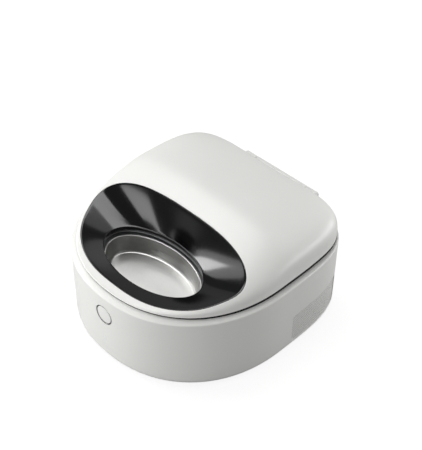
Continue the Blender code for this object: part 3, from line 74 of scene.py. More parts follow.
# Colour pair, roughness pair, grain in mm along x, y and z, depth of the grain in mm, and either the index of
# refraction or a one for metal
finishes = {
    # ABS moulded in a spark-eroded mould: satin, with a fine even grain that only softens the highlights
    "mouldedAbsWhite": dict(
        colours=(0xEAEAE7, 0xE6E6E3), rough=(0.36, 0.44), grain=(0.7, 0.7, 0.7), depth=0.012, ior=1.54,
    ),
    # the same ABS on the button, polished a little more where fingers touch it
    "touchedAbsWhite": dict(
        colours=(0xECECEA, 0xE6E6E3), rough=(0.28, 0.36), grain=(0.5, 0.5, 0.5), depth=0.006, ior=1.54,
    ),
    # ABS grey painted on the walls and bottoms of the vent's holes: painted shade, so that the holes read as soft grey
    # dots
    "ventHolePaintedShade": dict(
        colours=(0x9A9A98, 0x8C8C8A), rough=(0.55, 0.65), grain=(0.7, 0.7, 0.7), depth=0.01, ior=1.54,
    ),
    # acrylic moulded in a polished mould and hard-coated: mirror-like black, with the faintest cloudiness from
    # wiping; the hard coat mirrors a little more than bare acrylic's 1.49
    "polishedAcrylicBlack": dict(
        colours=(0x050506, 0x080809), rough=(0.1, 0.15), grain=(22, 22, 22), depth=0.0, ior=1.6,
    ),
    # deep-drawn stainless steel, satined by a wheel: soft streaks run round the wall; the real ones are
    # finer than a pixel, so they are drawn 1.2 mm apart
    "drawnSteel": dict(
        colours=(0xD4D4D2, 0xC4C4C2), rough=(0.27, 0.34), grain=(26, 26, 1.2), depth=0.0012, metal=1.0,
        follows="brushing",
    ),
    # nickel-plated trim and pins: bright, nearly even, a little smoky
    "platedNickel": dict(
        colours=(0x9E9E9D, 0x8A8A89), rough=(0.14, 0.22), grain=(1.5, 1.5, 1.5), depth=0.002, metal=1.0,
    ),
    # moulded polypropylene of the liner parts: grey, matt, slightly waxy
    "greyPolypropylene": dict(
        colours=(0x8A8C8E, 0x808284), rough=(0.46, 0.56), grain=(0.9, 0.9, 0.9), depth=0.015, ior=1.49,
    ),
    # the same polypropylene in near black for the fan, the gear case and sockets
    "darkPolypropylene": dict(
        colours=(0x2A2A2B, 0x222223), rough=(0.44, 0.55), grain=(0.8, 0.8, 0.8), depth=0.015, ior=1.49,
    ),
    # moulded silicone rubber: black, dull, dusty in its pores
    "siliconeRubber": dict(
        colours=(0x1B1B1B, 0x262626), rough=(0.78, 0.9), grain=(0.4, 0.4, 0.4), depth=0.03, ior=1.41,
    ),
    # closed-cell polyethylene foam, skived from a block: off-white with visible cells
    "cellFoam": dict(
        colours=(0xE2E1DA, 0xCFCEC6), rough=(0.85, 0.95), grain=(1.6, 1.6, 1.6), depth=0.25, ior=1.5,
    ),
    # natural acetal, moulded: milky and slippery
    "naturalAcetal": dict(
        colours=(0xEDEBE2, 0xE2E0D6), rough=(0.3, 0.4), grain=(1.2, 1.2, 1.2), depth=0.004, ior=1.48,
    ),
    # extruded aluminium: fine die lines along the length
    "extrudedAluminium": dict(
        colours=(0xC6C8CA, 0xB2B4B6), rough=(0.3, 0.42), grain=(0.3, 9, 0.3), depth=0.01, metal=1.0,
    ),
    # alumina of the cooler module, sintered: white, dry, very even
    "aluminaCeramic": dict(
        colours=(0xF1F1EE, 0xE6E6E2), rough=(0.5, 0.6), grain=(0.3, 0.3, 0.3), depth=0.01, ior=1.76,
    ),
    # lacquered fibreglass board: the weave and the tracks read as darker and lighter green
    "lacqueredBoard": dict(
        colours=(0x0F5A2E, 0x1C7A42), rough=(0.3, 0.45), grain=(1.8, 0.6, 0.6), depth=0.02, ior=1.55,
    ),
    # opal polycarbonate over the status light: milky, smooth
    "opalPolycarbonate": dict(
        colours=(0xF6F8F8, 0xF0F2F2), rough=(0.2, 0.28), grain=(0.8, 0.8, 0.8), depth=0.0, ior=1.585,
    ),
}


# The wide cloud that breaks up a finish, the layers of detail in grain and cloud, and the grain's share of the mix
pattern = dict(cloudSize=45 * mm, grainDetail=3.0, cloudDetail=2.0, grainShare=0.5)


# Noise at the grain's size plus a wide cloud mixes both colours and both roughnesses; the grain alone lifts the
# surface by its depth. It lies in Object coordinates, or follows the piece's own attribute
def makeFinish(name, colours, rough, grain, depth, metal=0.0, ior=0.0, follows=""):
    made = bpy.data.materials.new(name)
    made.use_nodes = True
    tree = made.node_tree
    shader = tree.nodes["Principled BSDF"]
    shader.inputs["Metallic"].default_value = metal
    if ior:
        shader.inputs["IOR"].default_value = ior
    if follows:
        where = addNode(tree, "ShaderNodeAttribute", {"attribute_name": follows}).outputs["Vector"]
    else:
        where = addNode(tree, "ShaderNodeTexCoord").outputs["Object"]
    sized = addNode(tree, "ShaderNodeMapping", Vector=where, Scale=[1 / (size * mm) for size in grain])
    noise = addNode(tree, "ShaderNodeTexNoise", Vector=sized.outputs[0], Scale=1.0, Detail=pattern["grainDetail"])
    cloud = addNode(tree, "ShaderNodeTexNoise", Vector=where, Scale=1 / pattern["cloudSize"],
                    Detail=pattern["cloudDetail"])
    rest = combine(tree, "MULTIPLY", cloud.outputs[0], 1 - pattern["grainShare"])
    both = addNode(tree, "ShaderNodeMath", {"operation": "MULTIPLY_ADD"}, i0=noise.outputs[0],
                   i1=pattern["grainShare"], i2=rest)
    low, high = ([*toLinear(colour), 1] for colour in colours)
    colour = addNode(tree, "ShaderNodeMix", {"data_type": "RGBA"}, i0=both.outputs[0], i6=low, i7=high)
    tree.links.new(colour.outputs[2], shader.inputs["Base Color"])
    polish = addNode(tree, "ShaderNodeMapRange", Value=both.outputs[0], To_Min=rough[0], To_Max=rough[1])
    tree.links.new(polish.outputs[0], shader.inputs["Roughness"])
    if depth:
        bump = addNode(tree, "ShaderNodeBump", Height=noise.outputs[0], Distance=depth * mm, Strength=1.0)
        tree.links.new(bump.outputs[0], shader.inputs["Normal"])
    return made


finish = {name: makeFinish(name, **spec) for name, spec in finishes.items()}

# CAD nodes whose shape is right keep it and only get their finish
cadFinish = {
    "base_plate": "greyPolypropylene", "foam_insulation": "cellFoam",
    "shaft_bush": "naturalAcetal", "drive_gear": "naturalAcetal", "tray_pinion": "naturalAcetal",
    "shutter_gear": "naturalAcetal", "shutter_pinion": "naturalAcetal", "gear_housing": "darkPolypropylene",
    "fan_frame": "darkPolypropylene", "fan_rotor": "darkPolypropylene", "button_switch": "darkPolypropylene",
    "power_inlet": "darkPolypropylene", "turntable_shaft": "extrudedAluminium", "tray_motor": "extrudedAluminium",
    "shutter_motor": "extrudedAluminium", "cold_plate": "extrudedAluminium", "heat_sink": "extrudedAluminium",
    "peltier_module": "aluminaCeramic", "button_board": "lacqueredBoard", "control_board": "lacqueredBoard",
    "temperature_sensor": "platedNickel", "hinge_pin": "platedNickel",
}
for node, name in cadFinish.items():
    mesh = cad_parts[node].data
    mesh.materials.clear()
    mesh.materials.append(finish[name])
print("finishes made")

# Surfaces on a grid

sharpEdge = 35  # degrees between two faces past which their edge stays sharp
poleRadius = 0.02 * mm  # the small cap that closes a turned piece on its own axis


# Even angles round a full turn, the last one short of the first
def turnAngles(count):
    return np.arange(count) * 2 * np.pi / count


# Even angles over a quarter turn, both ends included
def quarterAngles(steps):
    return np.linspace(0, np.pi / 2, steps)


# Points of the unit circle at the angles, as (cos, sin)
def onCircle(angle):
    return np.stack([np.cos(angle), np.sin(angle)], -1)


# Quads between neighbouring rows of a grid, whose columns always wrap round and whose rows may
def gridFaces(rows, columns, wrapRows):
    r = np.arange(rows if wrapRows else rows - 1)[:, None]
    c = np.arange(columns)[None, :]
    r2, c2 = (r + 1) % rows, (c + 1) % columns
    return np.stack([r * columns + c, r * columns + c2, r2 * columns + c2, r2 * columns + c], -1).reshape(-1, 4)


# Six times the volume inside quads: each is two triangles, and each triangle adds a . (b x c)
def signedVolume(points, faces):
    a, b, c, d = (points[faces[:, i]] for i in range(4))
    return np.einsum("ij,ij->", a, np.cross(b, c)) + np.einsum("ij,ij->", a, np.cross(c, d))


# A smooth mesh whose edges stay sharp where two faces meet at more than the given angle
def meshObject(name, points, faces, sharp=sharpEdge):
    mesh = bpy.data.meshes.new(name)
    mesh.from_pydata(points.tolist(), [], faces)
    mesh.update()
    mesh.shade_smooth()
    mesh.set_sharp_from_angle(angle=math.radians(sharp))
    made = bpy.data.objects.new(name, mesh)
    bpy.context.scene.collection.objects.link(made)
    return made


# Recalculates the normals of a closed shape, so that its faces point outwards
def outward(piece):
    bm = bmesh.new()
    bm.from_mesh(piece.data)
    bmesh.ops.recalc_face_normals(bm, faces=bm.faces)
    bm.to_mesh(piece.data)
    bm.free()


# Closed surface from rings of points: the rows wrap into a tube's wall, or end in a flat cap on each side
def ringSurface(name, grid, wrapRows=True, sharp=sharpEdge):
    rows, columns = grid.shape[:2]
    points = grid.reshape(-1, 3)
    faces = gridFaces(rows, columns, wrapRows)
    if wrapRows:
        inward = signedVolume(points - points.mean(0), faces) < 0
        return meshObject(name, points, (faces[:, ::-1] if inward else faces).tolist(), sharp)
    ends = [list(range(columns))[::-1], list(range((rows - 1) * columns, rows * columns))]
    made = meshObject(name, points, faces.tolist() + ends, sharp)
    outward(made)
    return made


# Gives a piece its finish, its body and the nodes that it stands for
def place(piece, body, finishName, slot, *nodes):
    piece.data.materials.clear()
    piece.data.materials.append(finish[finishName])
    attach(piece, body)
    if nodes:
        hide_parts(*nodes)


# Takes the cutters out of the piece and deletes them
def cutAway(piece, cutters, sharp=sharpEdge):
    for cutter in cutters:
        step = piece.modifiers.new("cut", "BOOLEAN")
        step.operation = "DIFFERENCE"
        step.solver = "EXACT"
        step.object = cutter
    bpy.context.view_layer.update()
    done = bpy.data.meshes.new_from_object(piece.evaluated_get(bpy.context.evaluated_depsgraph_get()))
    piece.modifiers.clear()
    piece.data = done
    piece.data.shade_smooth()
    piece.data.set_sharp_from_angle(angle=math.radians(sharp))
    for cutter in cutters:
        bpy.data.objects.remove(cutter)


# A polyline of (x, y, radius) corners, each rounded by an arc that touches both of its sides: the arc starts
# radius / tan(half the corner) before it, about a centre radius / sin(half the corner) away along the middle line
def filletPath(corners, steps=5):
    corners = np.array(corners, float)
    path = []
    for i, (x, y, radius) in enumerate(corners):
        before, after = corners[i - 1, :2], corners[(i + 1) % len(corners), :2]
        here = np.array((x, y))
        if not radius:
            path.append(here[None])
            continue
        u = (before - here) / np.linalg.norm(before - here)
        v = (after - here) / np.linalg.norm(after - here)
        half = math.acos(np.clip(u @ v, -1, 1)) / 2
        reachAlong = radius / math.tan(half)
        centre = here + (u + v) / np.linalg.norm(u + v) * radius / math.sin(half)
        start, end = here + u * reachAlong - centre, here + v * reachAlong - centre
        first = math.atan2(start[1], start[0])
        sweep = (math.atan2(end[1], end[0]) - first + math.pi) % (2 * math.pi) - math.pi
        a = first + sweep * np.linspace(0, 1, steps + 1)
        path.append(centre + radius * onCircle(a))
    return np.concatenate(path)


# Four rounded corners, counterclockwise
def roundedRectangle(left, right, low, high, radius, steps=8):
    corners = [(right, low), (right, high), (left, high), (left, low)]
    return filletPath([(x, y, radius) for x, y in corners], steps)


# A flat outline carried along one axis: x with (y, z) points, y with (x, z) points, or z with (x, y) points
def prism(name, flat, low, high, axis):
    rows = np.array([low, high])[:, None] + 0 * flat[None, :, 0]
    first, second = np.broadcast_to(flat[None], (2, *flat.shape)).transpose(2, 0, 1)
    order = {"x": (rows, first, second), "y": (first, rows, second), "z": (first, second, rows)}[axis]
    return ringSurface(name, np.stack(order, -1), False)


# A profile of (radius, height) turned about its local Z; an end on the axis becomes a small flat cap
def turnedPiece(name, profile, matrix=Matrix.Identity(4), columns=96):
    profile = np.array(profile, float)
    profile[:, 0] = np.maximum(profile[:, 0], poleRadius)
    a = turnAngles(columns)
    grid = np.stack([profile[:, :1] * np.cos(a), profile[:, :1] * np.sin(a), profile[:, 1:] + 0 * a], -1)
    wrap = profile[0, 0] > poleRadius
    grid = grid @ np.array(matrix.to_3x3()).T + np.array(matrix.translation)
    return ringSurface(name, grid, wrap)


# A section of (inset, height) rows, found anew at each angle, at the distance reach(angle, inset) from the axis
def carriedRound(sectionAt, columns):
    angle = turnAngles(columns)
    section = np.stack([sectionAt(a) for a in angle], 1)
    radius = reach(angle, section[..., 0])
    return np.stack([radius * np.cos(angle), radius * np.sin(angle), section[..., 1]], -1)


# Casing

outline = dict(
    width=320 * mm, front=170 * mm, rear=161 * mm, frontPower=2.19, rearPower=3.87, lidInset=7.5 * mm,
    lidCorner=5 * mm, lidCornerPower=8, columns=320,
)
casing = dict(
    base=2 * mm, crease=112.5 * mm, creaseRise=4 * mm, creasePower=0.6, step=0.3 * mm, frontStep=5.5 * mm,
    under=0.2 * mm, frontUnder=1 * mm, frontPower=3, edgeHeight=10 * mm, edgeInset=7 * mm, edgeSteps=12,
    wall=2.6 * mm, wallRows=14, deck=111.6 * mm, deckThick=2.4 * mm, deckHole=141 * mm, creaseRound=2.2 * mm,
    creaseRoom=6.6 * mm, tipRound=0.35 * mm, cutOut=5 * mm, cutIn=20 * mm, sharp=30,
)
# a black lip behind the shoulder that darkens the seam's gap: painted shade
paintedShadeLip = dict(gap=0.3 * mm, width=1.4 * mm, top=119.2 * mm, sunk=0.1 * mm, soft=0.5 * mm)
vent = dict(
    front=17 * mm, rear=122 * mm, low=9 * mm, high=60 * mm, corner=10 * mm, recess=0.8 * mm, margin=3.2 * mm,
    pitch=2.3 * mm, hole=0.52 * mm, depth=1.1 * mm, overLength=2 * mm, overHeight=1.5 * mm, cutNear=80 * mm,
    cutFar=170 * mm, fromAngle=0.02, toAngle=1.2, samples=600, slopeStep=0.5 * mm, merge=0.01 * mm, sharp=50,
)
controls = dict(
    buttonHeight=81 * mm, buttonRadius=13.2 * mm, buttonSunk=0.4 * mm, buttonBack=3.4 * mm, buttonRound=0.9 * mm,
    stemRadius=3 * mm, stemBack=7.4 * mm, ringInner=13.55 * mm, ringOuter=14.85 * mm, ringSunk=0.1 * mm,
    ringBack=6.1 * mm, ringRound=0.45 * mm, hole=15.15 * mm, lightHeight=36 * mm, lightHalf=6 * mm,
    lightRadius=1.6 * mm, lightGap=0.15 * mm, lightSunk=0.1 * mm, lightBack=4 * mm, lightEnds=0.999, lightSteps=10,
    inletHeight=26 * mm, inletHole=6.3 * mm, inletNear=150 * mm, inletFar=170 * mm, steps=6, columns=96,
)


# Distance from the turntable's axis to the outline, |x / a| ** n + |y / b| ** n = 1: nearly an ellipse in front
# and squarer behind, drawn in by the inset
def reach(angle, inset=0.0):
    rear = np.sin(angle) > 0
    power = np.where(rear, outline["rearPower"], outline["frontPower"])
    halfWidth = outline["width"] / 2 - inset
    depth = np.where(rear, outline["rear"], outline["front"]) - inset
    return (np.abs(np.cos(angle) / halfWidth) ** power + np.abs(np.sin(angle) / depth) ** power) ** (-1 / power)


# How far inside the outline the lid's edge runs: less over the rear corners, by a power of how nearly the direction
# from the axis points at them
def lidInset(angle):
    corner = 2 * np.maximum(np.sin(angle), 0) * np.abs(np.cos(angle))
    return outline["lidInset"] - outline["lidCorner"] * corner ** outline["lidCornerPower"]


# Height of the crease, then where the shoulder ends under the lid's edge, as (inset, height): from the front to the
# rear the crease rises as a power of the way, and the shoulder's own rise fades as a power of what is left
def shoulderAt(angle):
    c = casing
    back = (1 + np.sin(angle)) / 2
    crease = c["crease"] + c["creaseRise"] * back ** c["creasePower"]
    left = (1 - back) ** c["frontPower"]
    return crease, lidInset(angle) + c["under"] + c["frontUnder"] * left, crease + c["step"] + c["frontStep"] * left


# The casing's section from the table up: a quarter ellipse, the wall, the slanted shoulder, and down to the deck
def casingSection(angle):
    c = casing
    crease, end, top = shoulderAt(angle)
    a = quarterAngles(c["edgeSteps"])
    edge = np.stack([c["edgeInset"] * (1 - np.sin(a)), c["base"] + c["edgeHeight"] * (1 - np.cos(a))], -1)
    wallTop = crease - c["creaseRoom"]
    height = np.linspace(c["base"] + c["edgeHeight"], wallTop, c["wallRows"])[1:]
    wall = np.stack([0 * height, height], -1)
    upper = filletPath([
        (0, wallTop, 0), (0, crease, c["creaseRound"]), (end, top, c["tipRound"]), (end, c["deck"], 0),
    ])[1:]
    return np.concatenate([edge, wall, upper])


# The section of the soft black lip that stands on the deck behind the shoulder: painted shade, a dark piece that makes
# the seam's gap read black
def paintedShadeSection(angle):
    s = paintedShadeLip
    near = shoulderAt(angle)[1] + s["gap"]
    far, low = near + s["width"], casing["deck"] - s["sunk"]
    return filletPath([(near, low, 0), (far, low, 0), (far, s["top"], s["soft"]), (near, s["top"], s["soft"])])


# The section carried round the outline, a round hole in the deck, and the inside back down; then the holes are cut
def baseHousing():
    c = casing
    angle = turnAngles(outline["columns"])[None]
    deck = c["deckHole"] + 0 * angle
    under = c["deck"] - c["deckThick"]
    inside = np.array([
        (c["wall"], under), (c["wall"], c["base"] + c["edgeHeight"]), (c["edgeInset"] + c["wall"], c["base"]),
    ])
    rim = [np.stack([deck * np.cos(angle), deck * np.sin(angle), 0 * deck + z], -1) for z in (c["deck"], under)]
    grid = [carriedRound(casingSection, outline["columns"]), *rim, carriedRound(lambda a: inside, outline["columns"])]
    shell = ringSurface("baseHousing", np.concatenate(grid))
    k = controls
    ahead, behind = -outline["front"] - c["cutOut"], -outline["front"] + c["cutIn"]
    disc = onCircle(turnAngles(k["columns"]))
    cutters = [
        prism("buttonHole", disc * k["hole"] + (0, k["buttonHeight"]), ahead, behind, "y"),
        prism("lightHole", lightOutline(k["lightRadius"] + k["lightGap"]), ahead, behind, "y"),
        prism("inletHole", disc * k["inletHole"] + (0, k["inletHeight"]), k["inletNear"], k["inletFar"], "y"),
    ]
    v = vent
    window = roundedRectangle(v["front"], v["rear"], v["low"], v["high"], v["corner"])
    for side in (1, -1):
        near, far = sorted((side * v["cutNear"], side * v["cutFar"]))
        cutters.append(prism("ventWindow%d" % side, window, near, far, "x"))
    cutAway(shell, cutters, c["sharp"])
    place(shell, "base", "mouldedAbsWhite", "white_casing", "base_housing")
    # a black strip on the deck behind the shoulder: painted shade in the seam's gap between lid and casing
    strip = ringSurface("paintedShadeStrip", carriedRound(paintedShadeSection, outline["columns"]))
    place(strip, "base", "siliconeRubber", "rubber")


# A slender upright pill, as (x, z): a rectangle whose short sides are rounded to just under half circles
def lightOutline(radius):
    k = controls
    half = k["lightHalf"] - k["lightRadius"] + radius
    low, high = k["lightHeight"] - half, k["lightHeight"] + half
    return roundedRectangle(-radius, radius, low, high, radius * k["lightEnds"], k["lightSteps"])


# Panel that follows the wall, a little inside it. A cell is a rectangular ring round an eight-sided hole, and each
# second row is moved by half a cell, so that its corners meet the mid points of its neighbours
def ventPanel(side, node):
    v = vent
    angle = np.linspace(v["fromAngle"], v["toAngle"], v["samples"])
    radius = reach(angle, v["recess"])
    x, y = radius * np.cos(angle), radius * np.sin(angle)
    along = np.concatenate([[0], np.cumsum(np.hypot(np.diff(x), np.diff(y)))])
    start, end = np.interp([v["front"] - v["overLength"], v["rear"] + v["overLength"]], y, along)
    rowPitch = v["pitch"] * math.sqrt(3) / 2
    rows = int((v["high"] - v["low"] + 2 * v["overHeight"]) / rowPitch)
    columns = int((end - start) / v["pitch"])
    r, c = np.meshgrid(np.arange(rows), np.arange(columns), indexing="ij")
    s = start + (c + 0.5 + 0.5 * (r % 2)) * v["pitch"]
    z = v["low"] - v["overHeight"] + (r + 0.5) * rowPitch
    rim = onCircle(np.radians(np.arange(-135, 181, 45)))
    sides = len(rim)
    offsets = np.stack([np.round(rim) / 2 * (v["pitch"], rowPitch), rim * v["hole"], rim * v["hole"]])
    sunk = np.array([0, 0, v["depth"]])[:, None] + np.zeros((3, sides))
    sAll = s[..., None, None] + offsets[..., 0]
    zAll = z[..., None, None] + offsets[..., 1]
    px, py = np.interp(sAll, along, x), np.interp(sAll, along, y)
    before, after = sAll - v["slopeStep"], sAll + v["slopeStep"]
    dx = np.interp(after, along, x) - np.interp(before, along, x)
    dy = np.interp(after, along, y) - np.interp(before, along, y)
    size = np.hypot(dx, dy)
    points = np.stack([side * (px - sunk * dy / size), py + sunk * dx / size, zAll], -1).reshape(-1, 3)
    yCell = np.interp(s, along, y)
    corner = v["corner"] - v["margin"]
    qy = np.abs(yCell - (v["front"] + v["rear"]) / 2) - (v["rear"] - v["front"]) / 2 + v["margin"] + corner
    qz = np.abs(z - (v["low"] + v["high"]) / 2) - (v["high"] - v["low"]) / 2 + v["margin"] + corner
    hole = ((np.hypot(np.maximum(qy, 0), np.maximum(qz, 0)) < corner) & (np.maximum(qy, qz) < corner)).reshape(-1)
    i = np.arange(sides)[None]
    edge = np.arange(rows * columns)[:, None] * 3 * sides + i
    step = (i + 1) % sides - i
    mouth, bottom = edge + sides, edge + 2 * sides
    ring = np.stack([edge, edge + step, mouth + step, mouth], -1).reshape(-1, 4)
    wall = np.stack([mouth, mouth + step, bottom + step, bottom], -1)[hole].reshape(-1, 4)
    lids, bottoms = mouth[~hole], bottom[hole]
    quads = np.concatenate([ring, wall])
    caps = np.concatenate([lids, bottoms])
    if side < 0:
        quads, caps = quads[:, ::-1], caps[:, ::-1]
    name = "ventPanel" + ("Right" if side > 0 else "Left")
    panel = meshObject(name, points, quads.tolist() + caps.tolist(), v["sharp"])
    place(panel, "base", "mouldedAbsWhite", "white_casing", node)
    # the walls and bottoms of the holes take the grey of painted shade; the rest of the panel stays white
    panel.data.materials.append(finish["ventHolePaintedShade"])
    index = np.zeros(len(quads) + len(caps), np.int32)
    index[len(ring):len(quads)] = 1
    index[len(quads) + len(lids):] = 1
    panel.data.polygons.foreach_set("material_index", index)
    bm = bmesh.new()
    bm.from_mesh(panel.data)
    bmesh.ops.remove_doubles(bm, verts=bm.verts, dist=v["merge"])
    loose = [vertex for vertex in bm.verts if not vertex.link_faces]
    bmesh.ops.delete(bm, geom=loose, context="VERTS")
    bm.to_mesh(panel.data)
    bm.free()


hinge = dict(
    y=163.5 * mm, z=124.2 * mm, radius=6.5 * mm, half=67 * mm, inner=48 * mm, drop=20 * mm, root=1.6 * mm,
    gap=1 * mm, webFront=152.9 * mm, webLow=121.7 * mm, webHigh=129.7 * mm, endRound=1 * mm, endSteps=5,
    eyeFrom=-30, eyeTo=210, eyeSteps=40, barrelSteps=48,
)


# A section of (y, z) points carried along x, drawn in towards its middle at both ends by a quarter circle
def roundedBar(name, section, low, high, soft):
    a = quarterAngles(hinge["endSteps"])
    x = np.concatenate([low + soft * (1 - np.cos(a)), (high - soft * (1 - np.cos(a)))[::-1]])
    inset = np.concatenate([soft * (1 - np.sin(a)), soft * (1 - np.sin(a))[::-1]])
    middle = section.mean(0)
    away = section - middle
    size = np.linalg.norm(away, axis=1)
    shrunk = middle + away[None] * (1 - inset[:, None] / size[None])[..., None]
    grid = np.concatenate([x[:, None, None] + 0 * shrunk[..., :1], shrunk], -1)
    return ringSurface(name, grid, False)


# Two fixed eyes with a gusset down the casing's rear wall, and the lid's barrel with its web between them
def hingePieces():
    h = hinge
    pin = np.array([h["y"], h["z"]])
    eye = pin + h["radius"] * onCircle(np.radians(np.linspace(h["eyeFrom"], h["eyeTo"], h["eyeSteps"])))
    foot = h["z"] - h["drop"]
    inside, outside = outline["rear"] - h["root"], outline["rear"] + h["root"]
    section = np.concatenate([eye, [(inside, casing["crease"]), (inside, foot), (outside, foot)]])
    for side, name in ((1, "hingeEyeRight"), (-1, "hingeEyeLeft")):
        low, high = sorted((side * h["inner"], side * h["half"]))
        bar = roundedBar(name, section, low, high, h["endRound"])
        place(bar, "base", "mouldedAbsWhite", "white_casing", "base_housing")
    rise, fall = h["webHigh"] - h["z"], h["webLow"] - h["z"]
    first, last = -np.pi - math.asin(fall / h["radius"]), np.pi - math.asin(rise / h["radius"])
    barrel = pin + h["radius"] * onCircle(np.linspace(first, last, h["barrelSteps"]))
    section = np.concatenate([barrel, [(h["webFront"], h["webHigh"]), (h["webFront"], h["webLow"])]])
    half = h["inner"] - h["gap"]
    bar = roundedBar("lidHingeBarrel", section, -half, half, h["endRound"])
    place(bar, "lid", "mouldedAbsWhite", "white_casing", "lid_hinge_barrel")


baseHousing()
ventPanel(1, "vent_grille_right")
ventPanel(-1, "vent_grille_left")
hingePieces()
print("casing made")

# Lid

lid = dict(
    base=121.9 * mm, skirt=1.4 * mm, rise=54.3 * mm, wall=2.4 * mm, power=3.32, cornerFullness=0.05, rearEase=0.75,
    crestY=14 * mm, slope=1.26, soft=0.05, rows=56, crowding=2.2, edgeRound=0.9 * mm, holeRound=0.7 * mm,
    axisGuard=0.01 * mm, edgeSteps=6, underEvery=3, sharp=40,
)
funnel = dict(
    y=-83.1 * mm, halfLength=126.9 * mm, halfWidth=67.4 * mm, power=2.63, egg=0.24, wall=2 * mm, land=1.5 * mm,
    hollow=1.05, gap=0.25 * mm, sink=0.25 * mm, openLength=82 * mm, openWidth=45.9 * mm, openZ=119.8 * mm,
    neck=5 * mm, lipRound=1.0 * mm, shoulder=0.8 * mm, edgeRound=0.45 * mm, halvings=45, narrowest=0.1,
    bend=1.6 * mm, bendRows=16, slopeRows=34, hiddenRows=12, edgeSteps=5, lipSteps=6, skirt=4.2 * mm, sharp=50,
)


# Height along the lid: a straight slope less a quarter sine, held under one by a soft minimum
def crestShare(y):
    front = outline["front"] - outline["lidInset"]
    t = (y + front) / (lid["crestY"] + front)
    rise = lid["slope"] * t - (lid["slope"] - 1) * np.sin(np.clip(t, 0, 1) * np.pi / 2)
    return -lid["soft"] * np.log(np.exp(-rise / lid["soft"]) + math.exp(-1 / lid["soft"]))


# Power of the dome's section: higher over the rear corners and lower in the middle of the rear, each growing as
# the fourth power of how far the direction from the axis points there
def roundness(x, y):
    size = np.maximum(np.hypot(x, y), lid["axisGuard"])
    rear = np.maximum(y, 0) / size
    corner = 2 * rear * np.abs(x) / size
    return lid["power"] + lid["cornerFullness"] * corner ** 4 - lid["rearEase"] * rear ** 4


# Height of the dome: floor + rise (1 - share ** power) ** (1 / power), where share is the distance from the axis
# over the outline's, so that it stands upright at the edge and lies nearly flat in the middle
def dome(x, y, inward, floor, extra=0.0):
    angle = np.arctan2(y, x)
    share = np.hypot(x, y) / reach(angle, lidInset(angle) + inward)
    power = roundness(x, y)
    roundOff = np.clip(1 - share ** power, 0, 1) ** (1 / power)
    return floor + np.maximum(lid["rise"] * crestShare(y) + extra, 0) * roundOff


# The lid's upper side
def lidTop(x, y):
    return dome(x, y, 0, lid["base"])


# The lid's lower side: drawn in by the wall, and a wall lower in the middle
def lidUnder(x, y):
    return dome(x, y, lid["wall"], lid["base"] - lid["skirt"], lid["skirt"] - lid["wall"])


# Distance from the funnel's middle to its rim, |v| ** n + |u| ** n = 1 with u narrowed towards the front like an
# egg; found by halving the interval
def funnelReach(angle):
    near, far = 0 * angle, 0 * angle + 2 * funnel["halfLength"]
    for _ in range(funnel["halvings"]):
        middle = (near + far) / 2
        v = middle * np.sin(angle) / funnel["halfWidth"]
        u = middle * np.cos(angle) / (funnel["halfLength"] * np.maximum(funnel["narrowest"], 1 + funnel["egg"] * v))
        inside = np.abs(v) ** funnel["power"] + np.abs(u) ** funnel["power"] < 1
        near, far = np.where(inside, middle, near), np.where(inside, far, middle)
    return near


# Distance from the funnel's middle to the oval opening, 1 / |(cos / a, sin / b)|
def openingReach(angle, offset=0.0):
    return 1 / np.hypot(np.cos(angle) / (funnel["openLength"] + offset), np.sin(angle) / (funnel["openWidth"] + offset))


# Directions and distances from the funnel's middle to points that lie evenly round the axis, at distance(angle)
def heading(distance, columns=outline["columns"]):
    a = turnAngles(columns)
    x, y = distance(a) * np.cos(a), distance(a) * np.sin(a)
    return np.arctan2(y - funnel["y"], x), np.hypot(x, y - funnel["y"])


# Points at a distance from the funnel's middle and at a height
def fromFunnel(angle, distance, z):
    return np.stack([distance * np.cos(angle), funnel["y"] + distance * np.sin(angle), z + 0 * distance], -1)


# The lid's own edge, seen from the turntable's axis
def lidEdge(angle):
    return reach(angle, lidInset(angle))


# Both sides of the lid along rays from the funnel's rim to the seam, with both edges rounded by quarter circles
def lidShell():
    angle, far = heading(lidEdge)
    rim = funnelReach(angle) + funnel["gap"]
    spread = 1 - (1 - np.linspace(0, 1, lid["rows"])) ** lid["crowding"]
    a = quarterAngles(lid["edgeSteps"])
    soft = lid["holeRound"]
    start, end = rim + soft, far - lid["edgeRound"]
    distance = np.concatenate([
        rim + soft * (1 - np.cos(a[:-1, None])), start + (end - start) * spread[:, None],
        far - lid["edgeRound"] * (1 - np.sin(a[1:, None])),
    ])
    drop = np.concatenate([soft * (1 - np.sin(a[:-1])), 0 * spread, lid["edgeRound"] * (1 - np.cos(a[1:]))])
    top = fromFunnel(angle, distance, 0)
    top[..., 2] = lidTop(top[..., 0], top[..., 1]) - drop[:, None]
    edge = fromFunnel(angle, far, lid["base"] - lid["skirt"])[None]
    u = turnAngles(outline["columns"])
    under = reach(u, lidInset(u) + lid["wall"])
    seam = under[:, None] * onCircle(u)
    hole = fromFunnel(angle, rim, 0)[:, :2]
    flat = hole + (seam - hole) * spread[::-lid["underEvery"], None, None]
    inside = np.concatenate([flat, lidUnder(flat[..., 0], flat[..., 1])[..., None]], -1)
    shell = ringSurface("lidShell", np.concatenate([top, edge, inside]), True, lid["sharp"])
    place(shell, "lid", "mouldedAbsWhite", "white_casing", "lid_shell")


